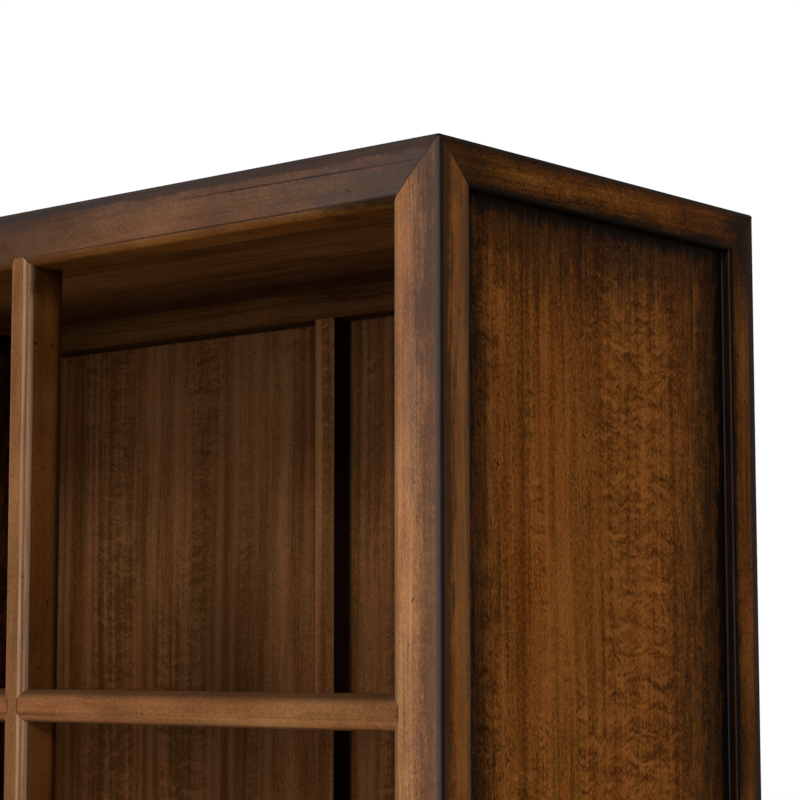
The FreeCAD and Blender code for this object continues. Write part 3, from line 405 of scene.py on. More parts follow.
# width and strength of the dark lines in the mitres
mitreMark = {"front": (0.0011, 0.70), "side": (0.0020, 0.85), "rear": (0.0022, 0.85), "top": (0.0020, 0.9)}
c = case
postWidth = c["half"] - c["postInner"]
frameDeep = c["frontInner"] - c["front"]
frontMitre = mitreLine("x", postWidth, "z", c["top"] - c["topLow"],
                       c["half"], c["top"], 1, 1, *mitreMark["front"])
sideMitre = mitreLine("y", frameDeep, "z", c["top"] - c["sideTopLow"],
                      c["front"], c["top"], -1, 1, *mitreMark["side"])
rearMitre = mitreLine("y", frameDeep, "z", c["top"] - c["sideTopLow"],
                      c["back"], c["top"], 1, 1, *mitreMark["rear"])
backMitre = mitreLine("x", postWidth, "z", c["top"] - c["backTopLow"],
                      c["half"], c["top"], 1, 1, *mitreMark["top"])
topMitre = mitreLine("x", postWidth, "y", frameDeep, c["half"], c["front"], 1, -1, *mitreMark["top"])
topRearMitre = mitreLine("x", postWidth, "y", frameDeep, c["half"], c["back"], 1, 1, *mitreMark["top"])

# front posts: a painted grey reflection beside the arris with a painted highlight line on it, black behind
# it from dark glaze and painted shade, brown darkening towards both, and painted highlights on the faces;
# here and below a coat's numbers are its reach, strength and core; lowDark has no reach of its own
frontPost = {
    "skin": 0.003, "sideFace": ("x", 0.4724, 0.0020), "sideStart": -0.2064,
    "shadeX": 0.463, "shadeWide": 0.015, "shadeZ": 1.70, "shade": (0.17, 0.42, 0.3),
    "sideBlack": (0.0050, 1.0, 0.55), "sideDark": (0.0175, 0.86, 0.40),
    "innerWide": 0.0120, "innerDark": (0.0135, 0.78, 0.0),
    "dullX": 0.466, "dull": (0.024, 0.58, 0.2), "cornerDeep": 0.040, "cornerDark": (0.075, 0.55, 0.2),
    "roundX": 0.4305, "roundDeep": 0.004, "roundLine": (0.0012, 0.45),
    "insideDeep": 0.0100, "insideDark": (0.0060, 0.50, 0.5),
    "lowZ": 1.0, "lowTall": 0.72, "lowDark": (0.30, 0.5),
    "roundTop": ("x", 0.4275, 0.0060), "roundSide": -0.2060, "roundDark": (0.0062, 0.45, 0.35),
    "seamAndShade": (0.002, 0.95), "headDark": (0.42, 0.20),
    "sheenBand": (0.0068, 0.95, 0.35), "headTall": 0.34, "headSheen": (0.045, 0.80, 0.1),
    "allSheen": (0.034, 0.32, 0.1),
    "stainWide": 0.0035, "stainY": -0.1885, "stained": (0.0195, 1.0, 0.95),
    "arrisX": 0.4705, "arrisY": -0.2080, "arrisDeep": 0.0018, "arris": (0.0036, 0.82, 0.5),
    "highlightX": 0.447, "worn": (0.030, 0.10, 0.6), "sideHighlightZ": 1.72, "sideHighlight": (0.22, 0.17, 0.3),
}
f = frontPost
face = ("y", c["front"], f["skin"])
finishPieces(both("post_front"), "frame", "Z", (
    corner("x", f["shadeX"], f["shadeWide"], "z", f["shadeZ"], *f["shade"], [face]),
    # black and dark on the side face behind the arris: dark glaze and painted shade
    corner(*f["sideFace"], "y", f["sideStart"], *f["sideBlack"]),
    corner(*f["sideFace"], "y", f["sideStart"], *f["sideDark"]),
    # painted shade with dark glaze where the side face meets the panel
    corner("x", c["half"], f["innerWide"], "y", c["frontInner"], *f["innerDark"]),
    corner(*face, "x", f["dullX"], *f["dull"]),
    corner("y", c["front"], f["cornerDeep"], "z", c["top"], *f["cornerDark"]),
    corner("y", c["front"], f["roundDeep"], "x", f["roundX"], *f["roundLine"]),
    # painted shade on the inner round, which is turned away from the light
    corner("y", c["front"], f["insideDeep"], "x", c["postInner"], *f["insideDark"]),
    corner("z", f["lowZ"], f["lowTall"], *f["sideFace"], *f["lowDark"]),
    # more painted shade on the inner round
    corner(*f["roundTop"], "y", f["roundSide"], *f["roundDark"]),
    plane("y", c["frontInner"], *f["seamAndShade"]),
    corner(*face, "z", c["top"], *f["headDark"]),
# painted grey reflection beside the arris, over the head and thinly over the whole front face
), (frontMitre, sideMitre), haze=(
    corner(*face, "x", c["half"], *f["sheenBand"]),
    corner(*face, "x", c["half"], *f["headSheen"], [("z", c["top"], f["headTall"])]),
    corner(*face, "x", c["half"], *f["allSheen"]),
), stain=(
    corner("x", c["half"], f["stainWide"], "y", f["stainY"], *f["stained"]),
# a painted blue-grey highlight line on the arris
), rubbed=(
    corner("y", f["arrisY"], f["arrisDeep"], "x", f["arrisX"], *f["arris"]),
# painted highlights in the middle of the front face and along the side face
), worn=(
    corner(*face, "x", f["highlightX"], *f["worn"]),
    corner(*f["sideFace"], "z", f["sideHighlightZ"], *f["sideHighlight"]),
))

# back posts: black along the rear edge, thin painted blue-grey highlight lines on the edges of the step,
# and painted shade with dark glaze where the side face meets the panel
backPost = {
    "depth": 0.80, "skin": 0.004, "edgeDark": (0.014, 0.97, 0.2),
    "edgeY": 0.2155, "edgeBlack": (0.0098, 0.80, 0.5),
    "innerWide": 0.012, "innerDark": (0.012, 0.97, 0.2), "seamAndShade": (0.002, 0.94),
    "headDark": (0.14, 0.85, 0.25), "edgeLine": (0.0013, 0.80, 0.5),
    "stepWide": 0.0022, "stepLine": (0.0013, 0.40, 0.5),
}
finishPieces(both("post_back"), "sideFrame", "Z", (
    corner("x", c["half"], backPost["skin"], "y", c["back"], *backPost["edgeDark"]),
    corner("x", c["half"], backPost["skin"], "y", backPost["edgeY"], *backPost["edgeBlack"]),
    # painted shade with dark glaze where the side face meets the panel
    corner("x", c["half"], backPost["innerWide"], "y", c["backInner"], *backPost["innerDark"]),
    plane("y", c["backInner"], *backPost["seamAndShade"]),
    plane("z", c["top"], *backPost["headDark"]),
# painted blue-grey highlight lines on the arris at the step and on the step's inner edge
), (backMitre, rearMitre), backPost["depth"], rubbed=(
    corner("x", c["half"], backPost["skin"], "y", c["backInner"], *backPost["edgeLine"]),
    corner("x", c["panelFace"], backPost["stepWide"], "y", c["backInner"], *backPost["stepLine"]),
))

# top rails: a painted grey reflection and dark glaze along the top edge, a faint painted highlight along
# the middle, with a hairline crack in the front one
topRail = {
    "depth": 0.55, "skin": 0.004, "topLine": (0.0016, 0.60, 0.5), "edgeDark": (0.0110, 0.38, 0.7),
    "roundUp": 0.0065, "roundLine": (0.0012, 0.75),
    "strokeUp": 0.0035, "strokeTall": 0.0046, "stroke": (0.15, 0.85, 0.4), "middleDark": (0.19, 0.46),
    "stainDeep": 0.040, "stained": (0.0060, 1.0, 0.9),
    "edgeSheen": (0.0110, 1.0, 0.70), "sheenBand": (0.036, 0.75, 0.15), "endSheen": (0.30, 1.0, 0.1),
    "cornerLong": 0.16, "cornerSheen": (0.032, 0.85, 0.2), "allSheen": (0.0040, 0.38, 0.9),
    "highlightX": 0.27, "highlightLong": 0.16, "highlightZ": 1.925, "worn": (0.017, 0.085, 0.3),
    "crackLeft": (0.1186, 1.9356), "crackRight": (0.4541, 1.9328), "crackMark": (0.0009, 0.72),
    "crackX": 0.315, "crackLong": 0.16,
}
crackDrop = ((topRail["crackLeft"][1] - topRail["crackRight"][1])
             / (topRail["crackRight"][0] - topRail["crackLeft"][0]))
crackLevel = topRail["crackLeft"][1] + crackDrop * topRail["crackLeft"][0]
crack = ("z", 1.0, "x", crackDrop, crackLevel, *topRail["crackMark"],
         "x", topRail["crackX"], topRail["crackLong"])
face = ("y", c["front"], topRail["skin"])
finishPieces(["top_rail_front"], "frame", "X", (
    corner(*face, "z", c["top"], *topRail["topLine"]),
    corner(*face, "z", c["top"], *topRail["edgeDark"]),
    corner(*face, "z", c["topLow"] + topRail["roundUp"], *topRail["roundLine"]),
    corner("z", c["topLow"] + topRail["strokeUp"], topRail["strokeTall"],
           "x", c["half"], *topRail["stroke"]),
    plane("x", 0.0, *topRail["middleDark"]),
), (frontMitre, topMitre, crack), topRail["depth"], stain=(
    corner("y", c["front"], topRail["stainDeep"], "z", c["topLow"], *topRail["stained"]),
# painted grey reflection along the top edge, towards the end and over the front face
), haze=(
    corner(*face, "z", c["top"], *topRail["edgeSheen"]),
    corner(*face, "z", c["top"], *topRail["sheenBand"]),
    corner(*face, "x", c["half"], *topRail["endSheen"]),
    corner("x", c["half"], topRail["cornerLong"], "z", c["top"], *topRail["cornerSheen"]),
    plane("y", c["front"], *topRail["allSheen"]),
# a faint painted highlight along the middle of the rail
), worn=(
    corner("x", topRail["highlightX"], topRail["highlightLong"], "z", topRail["highlightZ"], *topRail["worn"]),
))
# rear top rail: much darker all over, which is painted shadow inside the case
rearTopRail = {"depth": 0.27, "edgeDeep": 0.012, "edgeDark": (0.012, 0.85)}
finishPieces(["top_rail_back"], "inside", "X", (
    corner("z", c["top"], rearTopRail["edgeDeep"], "y", c["back"], *rearTopRail["edgeDark"]),
), (backMitre, topRearMitre), rearTopRail["depth"])
# side top rails: painted shadow along the lower edge, beside dark glaze at the top edge and the ends
sideTopRail = {
    "topSkin": 0.012, "topLine": (0.0040, 1.0, 0.5), "topDark": (0.020, 0.80, 0.15),
    "lowSkin": 0.006, "lowDark": (0.016, 0.98, 0.1), "seamAndShade": (0.0045, 1.0, 0.5),
    "frontDark": (0.13, 0.70), "backDark": (0.13, 0.50), "backBlack": (0.085, 0.95, 0.2),
    "endTall": 0.022, "endDark": (0.17, 0.52, 0.3), "stainWide": 0.020, "stained": (0.32, 0.8, 0.3),
}
finishPieces(both("top_rail"), "sideFrame", "Y", (
    corner("x", c["half"], sideTopRail["topSkin"], "z", c["top"], *sideTopRail["topLine"]),
    corner("x", c["half"], sideTopRail["topSkin"], "z", c["top"], *sideTopRail["topDark"]),
    # painted shadow along the lower edge of the rail
    corner("x", c["half"], sideTopRail["lowSkin"], "z", c["sideTopLow"], *sideTopRail["lowDark"]),
    plane("z", c["sideTopLow"], *sideTopRail["seamAndShade"]),
    plane("y", c["front"], *sideTopRail["frontDark"]),
    plane("y", c["back"], *sideTopRail["backDark"]),
    plane("y", c["back"], *sideTopRail["backBlack"]),
    corner("z", c["top"], sideTopRail["endTall"], "y", c["back"], *sideTopRail["endDark"]),
), (sideMitre, rearMitre, topMitre, topRearMitre), stain=(
    corner("x", c["half"], sideTopRail["stainWide"], "y", c["back"], *sideTopRail["stained"]),
))

# middle post: painted highlight lines on its right round, and painted shade on its sides under the top rail
midPost = {
    "depth": 0.60, "roundY": -0.2003, "edgeWide": 0.0030, "edgeLine": (0.0008, 0.50),
    "roundX": 0.0102, "roundDeep": 0.0050, "roundLine": (0.0006, 0.25), "faceDark": (0.0012, 0.14, 0.6),
    "sideWide": 0.0022, "headDark": (0.040, 0.66, 0.3), "seamAndShade": (0.006, 0.8),
    "shineX": 0.0076, "shineDeep": 0.0040, "shine": (0.0022, 0.80, 0.2),
    "farShineX": 0.0120, "farShineWide": 0.0030, "farShineY": -0.2032, "farShine": (0.0030, 0.48, 0.5),
    "stainWide": 0.0012, "stainY": -0.1840, "stained": (0.0158, 0.85, 0.9),
}
m = midPost
finishPieces(["mid_post"], "frame", "Z", (
    corner("x", c["midHalf"], m["edgeWide"], "y", m["roundY"], *m["edgeLine"]),
    corner("y", c["railFront"], m["roundDeep"], "x", m["roundX"], *m["roundLine"]),
    plane("y", c["railFront"], *m["faceDark"]),
    # painted shade on the sides under the top rail
    corner("x", c["midHalf"], m["sideWide"], "z", c["topLow"], *m["headDark"]),
    plane("y", c["frontInner"], *m["seamAndShade"]),
# painted highlights on the right round of the post, on the side where the light falls
), depth=m["depth"], worn=(
    corner("y", c["railFront"], m["shineDeep"], "right", m["shineX"], *m["shine"]),
    corner("right", m["farShineX"], m["farShineWide"], "y", m["farShineY"], *m["farShine"]),
), stain=(
    corner("x", c["midHalf"], m["stainWide"], "y", m["stainY"], *m["stained"]),
))
backStile = {"edgeDark": (0.0012, 0.9)}
finishPieces(["back_stile"], "backPanel", "Z", (plane("x", c["midHalf"], *backStile["edgeDark"]),))

# front rails, with the line between flat and round and darker ends
shelfRail = {
    "depth": 0.60, "skin": 0.004, "edgeSkin": 0.009, "endSkin": 0.010,
    "roundUp": 0.0085, "roundLine": (0.0014, 0.14),
    "endLong": 0.0900, "endLow": 0.8, "endStroke": (0.0016, 0.42, 0.5),
    "topDark": (0.0095, 0.75, 0.1), "lowDark": (0.0024, 0.55, 0.3), "haunch": 0.0075,
    "endLine": (0.0022, 0.80), "lineDeep": 0.0085, "lineReach": 0.0040, "topLine": (0.0007, 0.55, 0.5),
}
for stem, low, high in (("shelf_rail_upper", "upperLow", "upperTop"),
                        ("shelf_rail_lower", "lowerLow", "lowerTop")):
    front = c["railFront"]
    finishPieces(both(stem), "frame", "X", (
        corner("y", front, shelfRail["skin"], "z", c[low] + shelfRail["roundUp"], *shelfRail["roundLine"]),
        corner("x", c["midHalf"], shelfRail["endLong"],
               "z", c[low] + shelfRail["roundUp"] * shelfRail["endLow"], *shelfRail["endStroke"]),
        corner("y", front, shelfRail["edgeSkin"], "z", c[high], *shelfRail["topDark"]),
        corner("y", front, shelfRail["edgeSkin"], "z", c[low], *shelfRail["lowDark"]),
        corner("y", front, shelfRail["endSkin"],
               "x", c["midHalf"] - shelfRail["haunch"], *shelfRail["endLine"]),
        corner("y", front, shelfRail["endSkin"],
               "x", c["postInner"] + shelfRail["haunch"], *shelfRail["endLine"]),
    # a painted highlight line along the top edge of the rail
    ), depth=shelfRail["depth"], rubbed=(
        corner("y", front + shelfRail["lineDeep"], shelfRail["lineReach"],
               "z", c[high], *shelfRail["topLine"]),
    ))
frontRail = {"depth": 0.80, "skin": 0.006, "lowDark": (0.006, 0.7), "highDark": (0.005, 0.5),
             "endIn": 0.004, "endSkin": 0.01, "endDark": (0.010, 0.85)}
for node, low, high in (("waist_rail_front", "waistLow", "waistTop"),
                        ("bottom_rail_front", "footHigh", "bottomTop")):
    front = c["railFront"]
    finishPieces([node], "frame", "X", (
        corner("y", front, frontRail["skin"], "z", c[low], *frontRail["lowDark"]),
        corner("y", front, frontRail["skin"], "z", c[high], *frontRail["highDark"]),
        corner("y", front, frontRail["endSkin"],
               "x", c["postInner"] + frontRail["endIn"], *frontRail["endDark"]),
    ), depth=frontRail["depth"])

sideRail = {"edgeWide": 0.012, "edgeDark": (0.009, 1.0), "endWide": 0.012, "endDark": (0.012, 0.95)}
for stem, low, high in (("side_rail_waist", "waistLow", "waistTop"),
                        ("side_rail_bottom", "footHigh", "bottomTop")):
    finishPieces(both(stem), "sideFrame", "Y", (
        corner("x", c["half"], sideRail["edgeWide"], "z", c[low], *sideRail["edgeDark"]),
        corner("x", c["half"], sideRail["edgeWide"], "z", c[high], *sideRail["edgeDark"]),
        corner("x", c["half"], sideRail["endWide"], "y", c["frontInner"], *sideRail["endDark"]),
        corner("x", c["half"], sideRail["endWide"], "y", c["backInner"], *sideRail["endDark"]),
    ))
finishPieces(["back_rail_waist", "back_rail_bottom"], "inside", "X")

# side panels: black at the edges, fading raggedly into the field: dark glaze and painted shade in the
# recess
sidePanel = {"frontBlack": (0.032, 1.0, 0.15), "frontFade": (0.062, 0.80, 0.15),
             "backBlack": (0.040, 1.0, 0.2), "backFade": (0.105, 0.88, 0.15),
             "topBlack": (0.042, 1.0, 0.1), "topFade": (0.105, 0.80, 0.15), "lowFade": (0.060, 0.95, 0.15),
             "rippleColumn": ("y", 0.055, 0.080)}
for stem, low, high in (("side_panel_upper", "waistTop", "sideTopLow"),
                        ("side_panel_lower", "bottomTop", "waistLow")):
    finishPieces(both(stem), "sidePanel", "Z", (
        plane("y", c["frontInner"], *sidePanel["frontBlack"]),
        plane("y", c["frontInner"], *sidePanel["frontFade"]),
        plane("y", c["backInner"], *sidePanel["backBlack"]),
        plane("y", c["backInner"], *sidePanel["backFade"]),
        plane("z", c[high], *sidePanel["topBlack"]),
        plane("z", c[high], *sidePanel["topFade"]),
        plane("z", c[low], *sidePanel["lowFade"]),
    ), ripple=(sidePanel["rippleColumn"],))
# back panels: a painted shadow line and painted shade under the top rail, a band of painted shade left of
# the middle, a dark line beside the stile
backPanel = {"topShadowLine": (0.0045, 0.95), "stileDark": (0.006, 0.9), "grooveLow": (0.0045, 0.9),
             "headDark": (0.34, 0.34), "shadeX": -0.16, "shade": (0.13, 0.30, 0.2),
             "rippleColumn": ("x", 0.330, 0.045), "rightDepth": 1.0, "leftDepth": 0.88}
for side in ("right", "left"):
    finishPieces(["back_panel_upper_" + side], "backPanel", "Z", (
        plane("z", c["backTopLow"], *backPanel["topShadowLine"]),
        plane("x", c["midHalf"], *backPanel["stileDark"]),
        plane("z", c["waistTop"], *backPanel["grooveLow"]),
        plane("z", c["backTopLow"], *backPanel["headDark"]),
        plane("right", backPanel["shadeX"], *backPanel["shade"]),
    ), depth=backPanel[side + "Depth"], ripple=(backPanel["rippleColumn"],))
finishPieces(["back_panel_lower"], "backPanel", "Z")
# ceiling: painted shade towards the back of the case
topPanel = {"rearDark": (0.20, 0.70)}
finishPieces(["top_panel"], "inside", "X", (plane("y", c["backInner"], *topPanel["rearDark"]),))
finishPieces(["shelf_upper", "shelf_lower", "waist_board", "bottom_board", "cupboard_shelf"], "inside", "X")
finishPieces(both("shelf_bearer_upper") + both("shelf_bearer_lower"), "inside", "Y")
finishPieces(["door_catches", "corner_dowels"], "inside", "Z")

apron = {"depth": 0.8, "face": 0.206, "sideFace": 0.470, "skin": 0.01,
         "topDark": (0.008, 0.9), "endDark": (0.008, 0.8)}
finishPieces(["apron_front"], "frame", "X", (
    corner("y", -apron["face"], apron["skin"], "z", c["footHigh"], *apron["topDark"]),
    corner("y", -apron["face"], apron["skin"], "x", c["postInner"], *apron["endDark"]),
), depth=apron["depth"])
finishPieces(both("apron"), "sideFrame", "Y", (
    corner("x", apron["sideFace"], apron["skin"], "z", c["footHigh"], *apron["topDark"]),
    corner("x", apron["sideFace"], apron["skin"], "y", c["frontInner"], *apron["endDark"]),
    corner("x", apron["sideFace"], apron["skin"], "y", c["backInner"], *apron["endDark"]),
))

# doors: dark along every edge, and black in the corners round the panels, where dark glaze and painted
# shade lie in the recess
door = {"left": 0.001, "right": 0.4225, "low": 0.189, "high": 0.725, "face": -0.205, "frameWide": 0.046,
        "depth": 0.9, "panelDepth": 0.85, "skin": 0.01, "innerSkin": 0.008,
        "outerDark": (0.008, 0.85), "meetingDark": (0.008, 0.9),
        "innerDark": (0.006, 0.8), "jointDark": (0.005, 0.7), "panelBlack": (0.010, 0.95, 0.2),
        "panelFade": (0.040, 0.70, 0.1)}
doorIn = door["left"] + door["frameWide"]
doorOut = door["right"] - door["frameWide"]
railLow = door["low"] + door["frameWide"]
railHigh = door["high"] - door["frameWide"]
outerFace = ("y", door["face"], door["skin"])
innerFace = ("y", door["face"], door["innerSkin"])
for side in ("right", "left"):
    stem = "door_%s_" % side
    finishPieces([stem + "hinge_stile"], "frame", "Z", (
        corner(*outerFace, "x", door["right"], *door["outerDark"]),
        corner(*innerFace, "x", doorOut, *door["innerDark"]),
    ), depth=door["depth"])
    finishPieces([stem + "meeting_stile"], "frame", "Z", (
        corner(*outerFace, "x", door["left"], *door["meetingDark"]),
        corner(*innerFace, "x", doorIn, *door["innerDark"]),
    ), depth=door["depth"])
    for rail, outer, inner in (("top_rail", door["high"], railHigh), ("bottom_rail", door["low"], railLow)):
        finishPieces([stem + rail], "frame", "X", (
            corner(*outerFace, "z", outer, *door["outerDark"]),
            corner(*innerFace, "z", inner, *door["innerDark"]),
            corner(*innerFace, "x", doorIn, *door["jointDark"]),
            corner(*innerFace, "x", doorOut, *door["jointDark"]),
        ), depth=door["depth"])
    panelEdges = (("x", doorIn), ("x", doorOut), ("z", railLow), ("z", railHigh))
    finishPieces([stem + "panel"], "doorPanel", "Z", [
        plane(*edge, *door[coat]) for coat in ("panelBlack", "panelFade") for edge in panelEdges
    ], depth=door["panelDepth"])
print("wood finishes on", len(finished), "pieces")

# aged brass of the pulls and shelf pins
brassLook = {
    "bright": (0.37, 0.245, 0.100), "dull": (0.13, 0.080, 0.034), "dirt": (0.025, 0.016, 0.010),
    "rough": 0.34, "roughCloud": 0.28, "relief": 0.3, "reliefHigh": 0.0002,
    "cloudSize": 0.0060, "cloudDetail": (4.0, 0.6),
    "scratchWide": 0.0006, "scratchLong": 0.0048, "scratchDetail": 2.0,
    "wornStep": (0.38, 0.62), "dirtStep": (0.62, 0.75, 0.0, 0.6),
}


def agedBrass(name):
    tree = FinishTree(name)
    place = tree.add("TexCoord").outputs["Object"]
    look = brassLook
    cloud = tree.noise(tree.grain(place, look["cloudSize"], look["cloudSize"], "Z", (0, 0, 0)),
                       *look["cloudDetail"])
    fine = tree.noise(tree.grain(place, look["scratchLong"], look["scratchWide"], "X", (0, 0, 0)),
                      look["scratchDetail"])
    worn = tree.step(cloud, *look["wornStep"])
    colour = tree.mix(worn, (*look["dull"], 1), (*look["bright"], 1))
    dirty = tree.step(fine, *look["dirtStep"])
    colour = tree.mix(dirty, colour, (*look["dirt"], 1))
    rough = tree.math("ADD", tree.away(cloud, 0.0, look["roughCloud"]), look["rough"])
    bump = tree.add("Bump", None, Height=fine, Strength=look["relief"], Distance=look["reliefHigh"])
    shader = tree.add("BsdfPrincipled", None, Base_Color=colour, Roughness=rough, Normal=bump.outputs[0])
    shader.inputs["Metallic"].default_value = 1.0
    return tree.finish(shader)


brass = agedBrass("agedBrass")
for node in both("pull_mount") + both("pull_ring") + ["shelf_pins"]:
    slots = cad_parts[node].data.materials
    slots.clear()
    slots.append(brass)
    finished.append(node)


def onlyFaces(piece, wanted):
    # leaves the piece in edit mode with the wanted faces selected
    bpy.ops.object.mode_set(mode="EDIT")
    bpy.ops.mesh.select_mode(type="FACE")
    bpy.ops.mesh.select_all(action="DESELECT")
    bpy.ops.object.mode_set(mode="OBJECT")
    for face in piece.data.polygons:
        face.select = wanted(face)
    bpy.ops.object.mode_set(mode="EDIT")


def halveAt(place):
    # cuts the piece off just behind the door's face and closes the cut
    bpy.ops.mesh.bisect(plane_co=(place[0], place[1] + pull["sunk"], place[2]), plane_no=(0, 1, 0),
                        use_fill=True, clear_outer=True)


def startPiece(name):
    # names the primitive just added and puts its place into its mesh
    piece = bpy.context.object
    piece.name = name
    piece.data.name = name
    bpy.ops.object.transform_apply(location=True, rotation=True, scale=True)
    return piece


def brassPiece(piece, body):
    bpy.ops.object.mode_set(mode="OBJECT")
    bpy.ops.object.shade_smooth_by_angle(angle=math.radians(pull["smooth"]))
    piece.data.materials.append(brass)
    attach(piece, body)


def copyPiece(piece, name, move, body):
    twin = piece.copy()
    twin.data = piece.data.copy()
    twin.name = name
    twin.data.name = name
    bpy.context.scene.collection.objects.link(twin)
    twin.data.transform(Matrix.Translation(move))
    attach(twin, body)


# smooth is in degrees; facing is the least share of a normal along an axis
pull = {"x": 0.024, "z": 0.457, "face": -0.2075, "ringY": -0.2139, "ringLow": 0.419, "sunk": 0.0002,
        "smooth": 40, "facing": 0.9}
toLeft = Vector((-2 * pull["x"], 0, 0))
plateMiddle = (pull["x"], pull["face"], pull["z"])

# raised bead near the rim of the round plate
plateBead = {"radius": 0.0126, "thick": 0.0013, "flat": 0.65, "around": 72, "across": 14}
bpy.ops.object.select_all(action="DESELECT")
bpy.ops.mesh.primitive_torus_add(
    major_radius=plateBead["radius"], minor_radius=plateBead["thick"], major_segments=plateBead["around"],
    minor_segments=plateBead["across"], location=plateMiddle, rotation=(math.pi / 2, 0, 0))
bead = startPiece("pull_bead_right")
bpy.ops.object.mode_set(mode="EDIT")
bpy.ops.mesh.select_all(action="SELECT")
bpy.ops.transform.resize(value=(1, plateBead["flat"], 1), center_override=plateMiddle)
halveAt(plateMiddle)
brassPiece(bead, "door_right")
copyPiece(bead, "pull_bead_left", toLeft, "door_left")

# stepped collar where the stem leaves the plate
stemCollar = {"radius": 0.0066, "thick": 0.0014, "step": 0.0008, "inset": 0.0011, "bevel": 0.00035,
              "around": 40, "bevelSteps": 2}
bpy.ops.object.select_all(action="DESELECT")
bpy.ops.mesh.primitive_cylinder_add(
    vertices=stemCollar["around"], radius=stemCollar["radius"], depth=stemCollar["thick"],
    location=(pull["x"], pull["face"] - stemCollar["thick"] / 2, pull["z"]), rotation=(math.pi / 2, 0, 0))
collar = startPiece("pull_collar_right")
onlyFaces(collar, lambda face: face.normal.y < -pull["facing"])
bpy.ops.mesh.inset(thickness=stemCollar["inset"], depth=0)
bpy.ops.mesh.extrude_region_move(TRANSFORM_OT_translate={"value": (0, -stemCollar["step"], 0)})
bpy.ops.object.mode_set(mode="OBJECT")
softened = collar.modifiers.new("softened", "BEVEL")
softened.width = stemCollar["bevel"]
softened.segments = stemCollar["bevelSteps"]
softened.limit_method = "ANGLE"
bpy.ops.object.modifier_apply(modifier="softened")
brassPiece(collar, "door_right")
copyPiece(collar, "pull_collar_left", toLeft, "door_left")

# small domed nails that hold the plate
plateNail = {"radius": 0.0015, "flat": 0.75, "spread": 0.0095, "turn": 45, "around": 20, "rings": 10}
nailSpots = []
for quarter in range(4):
    angle = math.radians(plateNail["turn"] + 90 * quarter)
    nailSpots.append((pull["x"] + plateNail["spread"] * math.cos(angle), pull["face"],
                      pull["z"] + plateNail["spread"] * math.sin(angle)))
bpy.ops.object.select_all(action="DESELECT")
bpy.ops.mesh.primitive_uv_sphere_add(
    segments=plateNail["around"], ring_count=plateNail["rings"], radius=plateNail["radius"],
    location=nailSpots[0], rotation=(math.pi / 2, 0, 0))
nail = startPiece("pull_nail_right_1")
bpy.ops.object.mode_set(mode="EDIT")
bpy.ops.mesh.select_all(action="SELECT")
bpy.ops.transform.resize(value=(1, plateNail["flat"], 1), center_override=nailSpots[0])
halveAt(nailSpots[0])
brassPiece(nail, "door_right")
for number, spot in enumerate(nailSpots, 1):
    move = Vector(spot) - Vector(nailSpots[0])
    if number > 1:
        copyPiece(nail, "pull_nail_right_%d" % number, move, "door_right")
    copyPiece(nail, "pull_nail_left_%d" % number, move + toLeft, "door_left")

# swelling at the bottom of each ring, where a finger takes it
ringKnob = {"radius": 0.0027, "drum": 0.0030, "ends": ((0.0013, 0.80), (0.0011, 0.82)), "around": 24,
            "smoothing": 2}
ringFoot = (pull["x"], pull["ringY"], pull["ringLow"])
bpy.ops.object.select_all(action="DESELECT")
bpy.ops.mesh.primitive_cylinder_add(
    vertices=ringKnob["around"], radius=ringKnob["radius"], depth=ringKnob["drum"],
    location=ringFoot, rotation=(0, math.pi / 2, 0))
knob = startPiece("pull_knob_right")
for way in (1, -1):
    onlyFaces(knob, lambda face, way=way: face.normal.x * way > pull["facing"])
    for length, narrowing in ringKnob["ends"]:
        bpy.ops.mesh.extrude_region_move(TRANSFORM_OT_translate={"value": (way * length, 0, 0)})
        bpy.ops.transform.resize(value=(1, narrowing, narrowing), center_override=ringFoot)
    bpy.ops.object.mode_set(mode="OBJECT")
rounded = knob.modifiers.new("rounded", "SUBSURF")
rounded.levels = ringKnob["smoothing"]
rounded.render_levels = ringKnob["smoothing"]
bpy.ops.object.modifier_apply(modifier="rounded")
brassPiece(knob, "ring_right")
copyPiece(knob, "pull_knob_left", toLeft, "ring_left")
bare = [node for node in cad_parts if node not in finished]
print("brass pieces modelled; nodes left bare:", bare)

# pale floor that fades to white, and white surroundings
floorLook = {"radius": 14, "sides": 96, "colour": (0.80, 0.80, 0.79), "fadeFrom": 1.6, "fadeTo": 6.0}
bpy.ops.object.select_all(action="DESELECT")
bpy.ops.mesh.primitive_circle_add(vertices=floorLook["sides"], radius=floorLook["radius"], fill_type="NGON")
floor = bpy.context.object
floor.name = "floor"
tree = FinishTree("paleFloor")
place = tree.add("TexCoord").outputs["Object"]
reach = tree.add("VectorMath", {"operation": "LENGTH"})
tree.feed(reach.inputs[0], place)
fade = tree.step(reach.outputs["Value"], floorLook["fadeFrom"], floorLook["fadeTo"])
path = tree.add("LightPath")
seen = tree.math("MAXIMUM", path.outputs["Is Camera Ray"], path.outputs["Is Glossy Ray"])
seen = tree.math("MAXIMUM", seen, path.outputs["Is Transmission Ray"])
paint = tree.add("BsdfDiffuse", None, Color=(*floorLook["colour"], 1))
glow = tree.add("Emission", None, Strength=1.0)
mixed = tree.add("MixShader")
tree.feed(mixed.inputs[0], tree.math("MULTIPLY", fade, seen))
tree.feed(mixed.inputs[1], paint.outputs[0])
tree.feed(mixed.inputs[2], glow.outputs[0])
floor.data.materials.append(tree.finish(mixed))

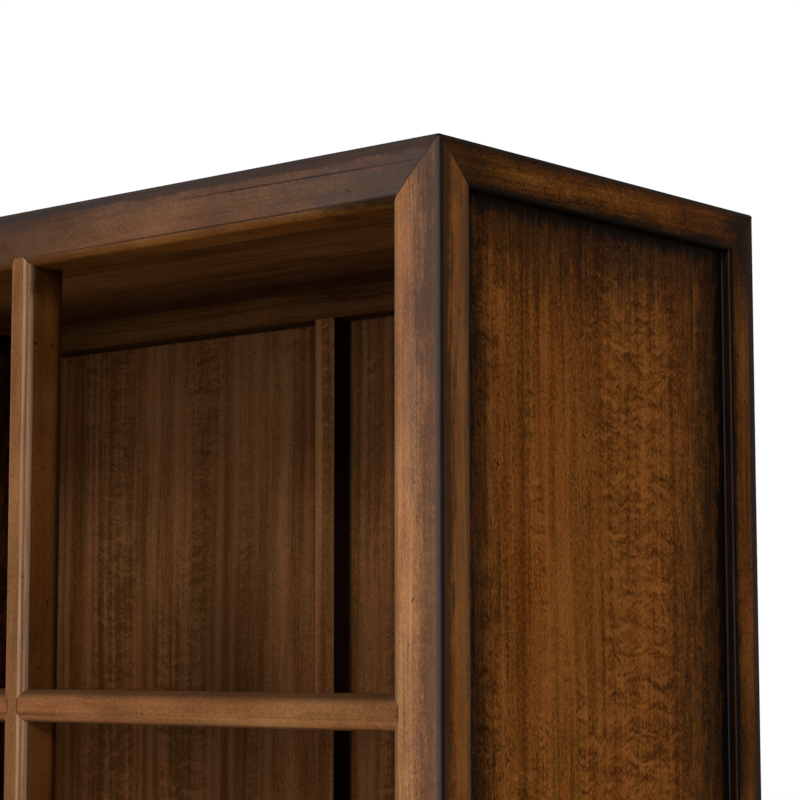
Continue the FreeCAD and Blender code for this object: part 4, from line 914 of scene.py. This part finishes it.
surroundings = {"light": (0.95, 0.97, 1.0), "strength": 0.09}
world = bpy.data.worlds.new("whiteRoom")
bpy.context.scene.world = world
world.use_nodes = True
sky = world.node_tree
sky.nodes.clear()
path = sky.nodes.new("ShaderNodeLightPath")
soft = sky.nodes.new("ShaderNodeBackground")
soft.inputs[0].default_value = (*surroundings["light"], 1)
soft.inputs[1].default_value = surroundings["strength"]
white = sky.nodes.new("ShaderNodeBackground")
white.inputs[0].default_value = (1, 1, 1, 1)
seen = path.outputs["Is Camera Ray"]
for ray in ("Is Glossy Ray", "Is Transmission Ray"):
    either = sky.nodes.new("ShaderNodeMath")
    either.operation = "MAXIMUM"
    sky.links.new(seen, either.inputs[0])
    sky.links.new(path.outputs[ray], either.inputs[1])
    seen = either.outputs[0]
choice = sky.nodes.new("ShaderNodeMixShader")
sky.links.new(seen, choice.inputs[0])
sky.links.new(soft.outputs[0], choice.inputs[1])
sky.links.new(white.outputs[0], choice.inputs[2])
ending = sky.nodes.new("ShaderNodeOutputWorld")
sky.links.new(choice.outputs[0], ending.inputs[0])

# soft boxes: place, point aimed at, side in metres, power in watts
studioLamps = {
    "keyBox": {"place": (1.65, -4.4, 3.60), "aim": (0.2, -0.2, 1.4), "side": 1.0, "power": 115,
               "colour": (1.0, 0.97, 0.93)},
    "frontBox": {"place": (-0.5, -5.2, 1.4), "aim": (0, -0.2, 1.3), "side": 2.6, "power": 165,
                 "colour": (1.0, 0.98, 0.96)},
    "leftBox": {"place": (-5.0, -0.6, 2.2), "aim": (-0.4, 0, 1.1), "side": 2.6, "power": 34,
                "colour": (1.0, 0.98, 0.96)},
    "rightBox": {"place": (5.0, 1.6, 2.0), "aim": (0.4, 0, 1.1), "side": 2.6, "power": 46,
                 "colour": (1.0, 0.96, 0.90)},
    "backBox": {"place": (-1.5, 4.6, 2.6), "aim": (0, 0.2, 1.0), "side": 2.6, "power": 70,
                "colour": (1.0, 0.98, 0.96)},
}
for name, box in studioLamps.items():
    lamp = bpy.data.lights.new(name, "AREA")
    lamp.shape = "SQUARE"
    lamp.size = box["side"]
    lamp.energy = box["power"]
    lamp.color = box["colour"]
    holder = bpy.data.objects.new(name, lamp)
    bpy.context.scene.collection.objects.link(holder)
    holder.location = box["place"]
    away = Vector(box["place"]) - Vector(box["aim"])
    holder.rotation_euler = away.to_track_quat("Z", "Y").to_euler()
print("floor, surroundings and lamps set")
